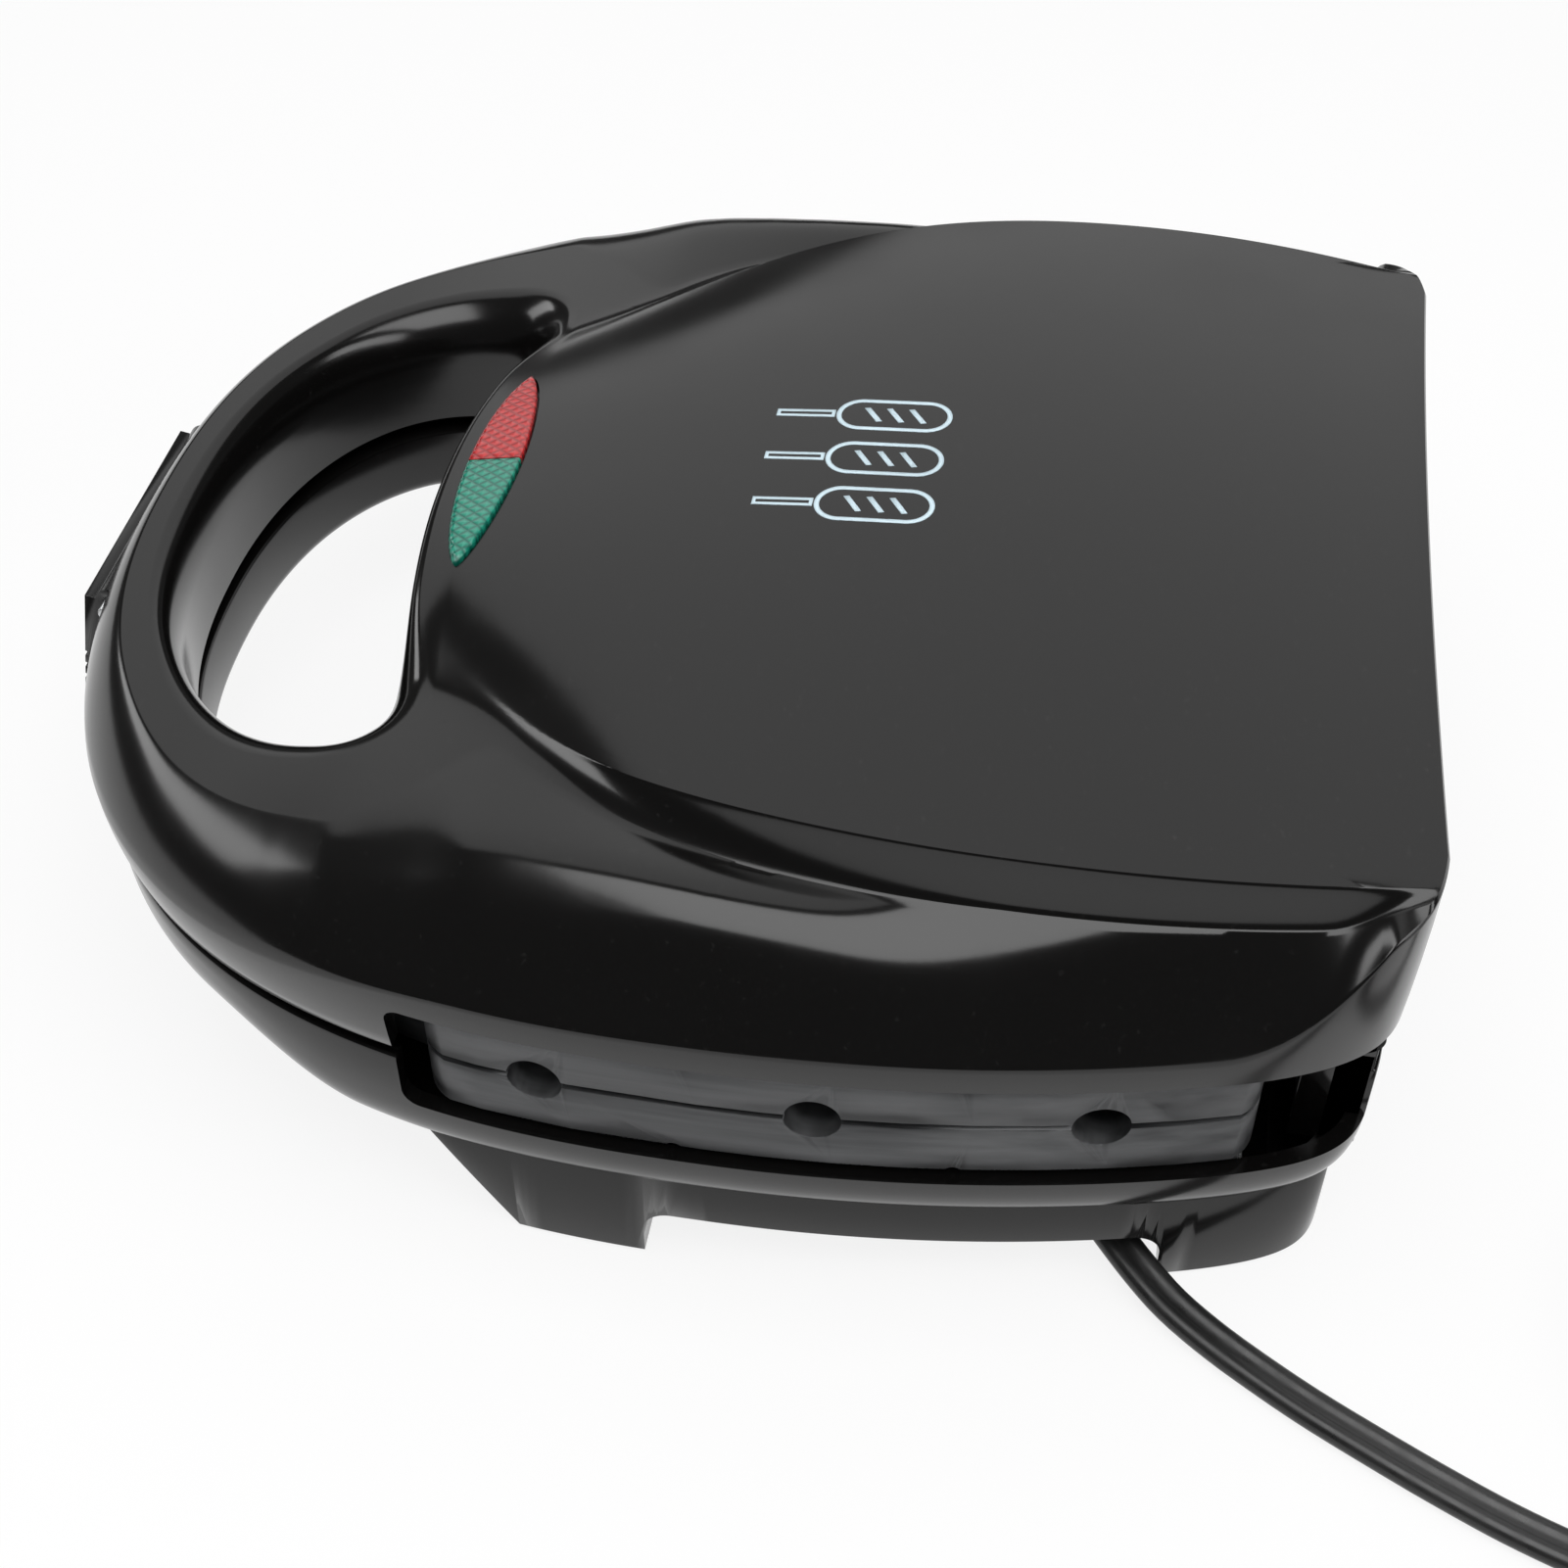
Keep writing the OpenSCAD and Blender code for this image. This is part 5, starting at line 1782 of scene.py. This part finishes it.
def smooth_path(points: Array, spacing: float) -> Array:
    """Points at an even spacing on a smooth curve through the given ones.

    Args:
        points: Points to pass through.
        spacing: Distance between the new points.

    Returns:
        The new points.
    """
    p = np.vstack([2 * points[0] - points[1], points, 2 * points[-1] - points[-2]])
    dense = []
    for i in range(1, len(p) - 2):
        for t in np.linspace(0, 1, 12, endpoint=False):
            a, b, c, d = p[i - 1], p[i], p[i + 1], p[i + 2]
            bend, twist = 2 * a - 5 * b + 4 * c - d, 3 * b - a - 3 * c + d
            dense.append(0.5 * (2 * b + (c - a) * t + bend * t**2 + twist * t**3))
    dense = np.array(dense + [p[-2]])
    along = np.concatenate([[0], np.cumsum(np.linalg.norm(np.diff(dense, axis=0), axis=1))])
    even = np.linspace(0, along[-1], int(along[-1] / spacing) + 1)
    return np.column_stack([np.interp(even, along, dense[:, k]) for k in range(3)])


# Print on the panel


@dataclass
class PanelPrint:
    """Three snacks on sticks in white outline, laid on the crown of the panel, in millimetres."""

    housing: Housing
    sweep: Tree
    finish: bpy.types.Material
    first: tuple[float, float] = (-14.0, 8.0)
    pitch: float = 13.0
    length: float = 20.0
    radius: float = 4.2
    stick: float = 11.0
    stick_w: float = 1.5
    line: float = 0.9
    proud: float = 0.05

    def snack(self, x: float, y: float) -> list[Array]:
        """Closed outlines of one snack: its body, its stick and three strokes on the body.

        Args:
            x: Middle of the snack.
            y: End of its stick.

        Returns:
            The outlines.
        """
        r, a = self.radius, np.radians(np.linspace(0, 180, 25))
        far = np.column_stack([x + r * np.cos(a), y + self.stick + self.length - r + r * np.sin(a)])
        near = np.column_stack([x - r * np.cos(a), y + self.stick + r - r * np.sin(a)])
        loops = [np.vstack([far, near])]
        w, end = self.stick_w / 2, y + self.stick - 1
        loops.append(np.array([(x - w, y), (x + w, y), (x + w, end), (x - w, end)]))
        for k in range(3):
            middle = y + self.stick + 6 + 4 * k
            slant = np.array([(x - 1.7, middle - 1.2), (x + 1.7, middle + 1.2)])
            loops.append(np.vstack([slant, slant[::-1] + (0, 0.4)]))
        return [lifted(loop, 0.0) for loop in loops]

    def build(self) -> None:
        """Builds the print."""
        x, y = self.first
        lines = [loop * MM for k in range(3) for loop in self.snack(x + k * self.pitch, y)]
        w, up = self.line / 2, self.proud
        edge = [(w, -0.1), (w, 0.6 * up), (0.7 * w, up)]
        band = np.array([(-w, -0.1), *edge, *[(-a, b) for a, b in edge[:0:-1]]])
        section = polyline("print_section", [lifted(band, 0.0) * MM], closed=True)
        path = polyline("print_lines", lines, closed=True)
        made = self.sweep.grow("panel_print", path, Section=section, Finish=self.finish)
        remove(section)
        for vertex in made.data.vertices:
            vertex.co.z += float(self.housing.crown(np.array([vertex.co.x, vertex.co.y]) / MM)) * MM
        seat(placed(made), Body.LID, "tie_white", self.finish)


# Cord, plug and relief


@dataclass
class Cord:
    """Flat twin cord: from its relief over the table into a coil that is put away, with its plug."""

    palette: Palette
    rows: Tree
    sweep: Tree
    width: float = 7.0
    thick: float = 3.6
    start: tuple[float, float, float] = (62.0, 57.5, 6.4)
    turn: float = 40.7
    relief: float = 24.0
    coil_mid: tuple[float, float] = (99.0, 212.0)
    coil_r: float = 46.0
    coil_z: float = 2.75
    coil_pitch: float = 10.5
    coil_layer: float = 4.3
    turns: float = 2.25
    plug_run: float = 30.0
    places: tuple[tuple[float, float, float], ...] = (
        (93.0, 84.0, 5.6), (99.0, 89.5, 4.4), (104.0, 95.0, 3.2), (109.0, 102.0, 2.4),
        (114.0, 110.0, 2.0), (119.0, 118.5, 1.9), (124.0, 128.0, 1.9), (129.0, 138.0, 1.9),
        (134.0, 149.0, 1.9), (138.0, 160.0, 1.9), (141.0, 171.0, 1.9), (143.0, 182.0, 2.1),
        (144.5, 192.0, 2.4), (145.0, 198.0, 2.75), (145.0, 205.0, 2.75),
    )

    def heading(self) -> Array:
        """Direction in which the cord leaves its relief."""
        a = math.radians(self.turn)
        return np.array([math.cos(a), math.sin(a), 0.0])

    def route(self) -> Array:
        """Middle line of the cord from the relief's end to the plug, in metres.

        Returns:
            Points along the middle line.
        """
        first = np.array(self.start) + self.heading() * self.relief
        lead = [first, first + self.heading() * 8, *np.array(self.places)]
        coil = []
        for i in range(int(24 * self.turns) + 1):
            turn, back = i / 24, self.turns / 2
            r = self.coil_r - self.coil_pitch * (back - abs(turn - back))
            a = 2 * math.pi * turn
            z = self.coil_z + self.coil_layer * float(ease(np.array((turn - back + 0.2) / 0.4)))
            coil.append((self.coil_mid[0] + r * math.cos(a), self.coil_mid[1] + r * math.sin(a), z))
        end = np.array(coil[-1]) - (self.plug_run, 0, 0)
        points = np.vstack([lead, coil, lerp(np.array(coil[-1]), end, 0.5), end])
        return smooth_path(points, 2.5) * MM + (0, PART_Y, 0)

    def section(self) -> Array:
        """Section of two round cores with a groove between them, in metres.

        Returns:
            Points of the closed section.
        """
        r = self.thick / 2
        centre = self.width / 2 - r
        a = np.radians(np.linspace(-115, 115, 15))
        right = np.column_stack([centre + r * np.cos(a), r * np.sin(a)])
        left = -right
        loop = np.vstack([right, [[0.0, r * 0.62]], left, [[0.0, -r * 0.62]]])
        return np.column_stack([loop, np.zeros(len(loop))]) * MM

    def build(self) -> None:
        route = self.route()
        section = polyline("cord_section", [self.section()], closed=True)
        path = polyline("cord_path", [route], closed=False)
        flex = self.sweep.grow("mains_cord", path, Section=section, Finish=self.palette.jacket)
        remove(section)
        seat(flex, Body.BASE, "cord_jacket", self.palette.jacket, "cord_lead", "cord_coil")
        plug, blades, tie = self.plug(), self.blades(), self.tie()
        self.strain_relief()

    def plug(self) -> bpy.types.Object:
        """Moulded plug.

        Returns:
            The plug.
        """
        body = bevelled(node_copy("plug_body", "plug_look"), 1.2 * MM, 40)
        sharpened(body, 50)
        seat(body, Body.BASE, "cord_jacket", self.palette.plug, "plug_body")
        return body

    def blades(self) -> bpy.types.Object:
        """Plug blades.

        Returns:
            The blades.
        """
        blades = bevelled(node_copy("plug_blades", "blades_look"), 0.4 * MM)
        sharpened(blades, 50)
        seat(blades, Body.BASE, "nickel", self.palette.nickel, "plug_blades")
        return blades

    def tie(self) -> bpy.types.Object:
        """Tie round the coil.

        Returns:
            The tie.
        """
        tie = bevelled(node_copy("cord_tie", "tie_look"), 0.25 * MM)
        sharpened(tie, 50)
        seat(tie, Body.BASE, "tie_white", self.palette.tie, "cord_tie")
        return tie

    def strain_relief(self) -> None:
        """Ribbed boot where the cord leaves the base."""
        core = bevelled(node_copy("strain_relief", "relief_core"), 0.3 * MM, 50)
        ring = rod("relief_rib", (0, 0, -0.6 * MM), (0, 0, 0.6 * MM), 4.75 * MM, 40)
        bevelled(ring, 0.35 * MM, 60)
        toward = Vector(self.heading()).to_track_quat("Z", "Y").to_matrix().to_4x4()
        ring.data.transform(toward)
        at = np.array(self.start) + self.heading() * 4.2
        ribs = self.rows.grow(
            "relief_ribs",
            ring,
            Count=7,
            Start=tuple(at * MM + (0, PART_Y, 0)),
            Step=tuple(self.heading() * 2.6 * MM),
            First_Scale=1.0,
            Last_Scale=0.86,
            Finish=self.palette.rubber,
        )
        boot = sharpened(joined("relief_look", [core, ribs]), 45)
        seat(boot, Body.BASE, "rubber", self.palette.rubber, "strain_relief")


# Carried-over pieces


@dataclass(frozen=True)
class Carried:
    """A CAD node that keeps its shape and gets softened edges and a finish."""

    node: str
    body: Body
    slot: str
    edge: float
    angle: float = 40.0

    def build(self, finish: bpy.types.Material) -> bpy.types.Object:
        """Builds the look of the node.

        Args:
            finish: Finish of the piece.

        Returns:
            The piece.
        """
        look = node_copy(self.node, self.node + "_look")
        if self.edge:
            bevelled(look, self.edge * MM, self.angle)
        sharpened(look, 45)
        seat(look, self.body, self.slot, finish, self.node)
        return look


@dataclass
class CookingParts:
    """Plates, elements, shields and the electrical parts."""

    palette: Palette

    def build(self) -> None:
        """Builds every piece."""
        p = self.palette
        base, lid = Body.BASE, Body.LID
        for carried, finish in (
            (Carried("lower_plate", base, "plate_coat", 0.5), p.plate),
            (Carried("upper_plate", lid, "plate_coat", 0.5), p.plate),
            (Carried("lower_element", base, "element_steel", 0.0), p.element),
            (Carried("upper_element", lid, "element_steel", 0.0), p.element),
            (Carried("lower_heat_shield", base, "steel", 0.15), p.steel),
            (Carried("upper_heat_shield", lid, "steel", 0.15), p.steel),
            (Carried("lower_plate_screws", base, "steel", 0.15), p.steel),
            (Carried("upper_plate_screws", lid, "steel", 0.15), p.steel),
            (Carried("hinge_pins", lid, "steel", 0.2), p.steel),
            (Carried("lamp_holder", lid, "pale_plastic", 0.3), p.pale),
            (Carried("power_lamp", lid, "lamp_glass", 0.0), p.bulb),
            (Carried("ready_lamp", lid, "lamp_glass", 0.0), p.bulb),
            (Carried("thermostat", base, "dark_plastic", 0.2), p.dark),
            (Carried("thermostat_bracket", base, "steel", 0.2), p.steel),
            (Carried("thermal_fuse", base, "sleeve", 0.2), p.sleeve),
            (Carried("terminal_block", base, "pale_plastic", 0.3), p.pale),
            (Carried("foot_pads", base, "rubber", 0.25), p.rubber),
        ):
            carried.build(finish)


@dataclass
class Latch:
    """Latch clip on the front of the handle, and its pin."""

    palette: Palette

    def build(self) -> None:
        """Builds the clip and the pin."""
        Carried("latch", Body.LATCH, "shell_black", 0.35, 50.0).build(self.palette.latch)
        Carried("latch_pin", Body.LID, "steel", 0.2).build(self.palette.steel)


# Stage


@dataclass
class Studio:
    """Camera at the photograph's place, floor, world and lamps."""

    azimuth: float = 99.62
    elevation: float = 45.0
    distance: float = 0.416
    target: tuple[float, float, float] = (0.039, 0.0154, 0.05)
    focal_px: float = 2399.0
    floor_white: float = 0.85
    world_grey: float = 0.07

    def camera(self) -> None:
        """Places the camera."""
        az, el = math.radians(self.azimuth), math.radians(self.elevation)
        back = Vector((math.sin(az) * math.cos(el), -math.cos(az) * math.cos(el), math.sin(el)))
        data = bpy.data.cameras.new("camera")
        data.sensor_fit = "HORIZONTAL"
        data.sensor_width = 36.0
        data.lens = 36.0 * self.focal_px / PHOTO_SIDE_PX
        data.clip_start = 0.01
        data.clip_end = 20.0
        camera = bpy.data.objects.new("camera", data)
        camera.location = Vector(self.target) + back * self.distance
        camera.rotation_euler = (-back).to_track_quat("-Z", "Y").to_euler()
        bpy.context.scene.collection.objects.link(camera)
        bpy.context.scene.camera = camera

    def floor(self) -> None:
        """Pale floor that shows white to the camera and keeps the object's shadow."""
        corners = [(-4, -4, 0), (4, -4, 0), (4, 4, 0), (-4, 4, 0)]
        floor = mesh_object("floor", corners, [(0, 1, 2, 3)], smooth=False)
        material = bpy.data.materials.new("pale_floor")
        material.use_nodes = True
        tree = material.node_tree
        shader = tree.nodes["Principled BSDF"]
        shader.inputs["Base Color"].default_value = (0.82, 0.82, 0.82, 1)
        shader.inputs["Roughness"].default_value = 0.9
        shader.inputs["Specular IOR Level"].default_value = 0.0
        path = tree.nodes.new("ShaderNodeLightPath")
        seen = path.outputs["Is Camera Ray"]
        for ray in ("Is Glossy Ray", "Is Transmission Ray"):
            either = tree.nodes.new("ShaderNodeMath")
            either.operation = "MAXIMUM"
            tree.links.new(seen, either.inputs[0])
            tree.links.new(path.outputs[ray], either.inputs[1])
            seen = either.outputs[0]
        share = tree.nodes.new("ShaderNodeMath")
        share.operation = "MULTIPLY"
        share.inputs[1].default_value = self.floor_white
        tree.links.new(seen, share.inputs[0])
        white = tree.nodes.new("ShaderNodeEmission")
        white.inputs["Color"].default_value = (1, 1, 1, 1)
        white.inputs["Strength"].default_value = 1.0
        mix = tree.nodes.new("ShaderNodeMixShader")
        tree.links.new(share.outputs[0], mix.inputs["Fac"])
        tree.links.new(shader.outputs["BSDF"], mix.inputs[1])
        tree.links.new(white.outputs["Emission"], mix.inputs[2])
        tree.links.new(mix.outputs["Shader"], tree.nodes["Material Output"].inputs["Surface"])
        floor.data.materials.append(material)

    def world(self) -> None:
        """Even grey light from all round."""
        world = bpy.data.worlds.new("studio")
        world.use_nodes = True
        back = world.node_tree.nodes["Background"]
        back.inputs["Color"].default_value = (self.world_grey, self.world_grey, self.world_grey, 1)
        back.inputs["Strength"].default_value = 1.0
        bpy.context.scene.world = world

    def lamp(
        self, name: str, at: Sequence[float], toward: Sequence[float], size: Sequence[float], power: float
    ) -> None:
        """Soft box that faces a point.

        Args:
            name: Name of the lamp.
            at: Its place.
            toward: Point that it faces.
            size: Its two sides.
            power: Its power in watts.
        """
        data = bpy.data.lights.new(name, "AREA")
        data.shape = "RECTANGLE"
        data.size, data.size_y = size
        data.energy = power
        lamp = bpy.data.objects.new(name, data)
        lamp.location = at
        lamp.rotation_euler = (Vector(toward) - Vector(at)).to_track_quat("-Z", "Y").to_euler()
        bpy.context.scene.collection.objects.link(lamp)

    def lamps(self) -> None:
        """Soft boxes overhead, behind the object, over the handle's side and over the hinge's side."""
        middle = (0.0, 0.0, 0.05)
        self.lamp("top_box", (0.42, 0.2, 1.05), (0.42, 0.2, 0.0), (1.0, 1.1), 12.5)
        self.lamp("far_box", (-1.25, 0.0, 1.3), middle, (2.6, 1.9), 14.0)
        self.lamp("left_box", (-0.1, -1.5, 0.9), middle, (1.4, 0.5), 9.0)
        self.lamp("right_box", (0.5, 1.5, 0.9), middle, (1.2, 0.5), 7.5)

    def build(self) -> None:
        """Builds the stage."""
        self.floor()
        self.world()
        self.lamps()
        bpy.context.scene.view_settings.view_transform = "Standard"


def main() -> None:
    """Builds the studio and every piece, in order."""
    studio = Studio()
    studio.camera()
    palette = Palette()
    rows = row_tree()
    housing = Housing()
    lid = LidShell(housing, palette.housing)
    lid.dress(lid.build())
    base = BaseShell(housing, palette.housing)
    base.dress(base.build())
    lenses = LensPair(housing)
    lenses.build(Side.LEFT, "red_lens", palette.red, "lens_red")
    lenses.build(Side.RIGHT, "green_lens", palette.green, "lens_green")
    sweep = sweep_tree()
    Cord(palette, rows, sweep).build()
    PanelPrint(housing, sweep, palette.print).build()
    CookingParts(palette).build()
    Latch(palette).build()
    studio.build()


if __name__ == "__main__":
    main()
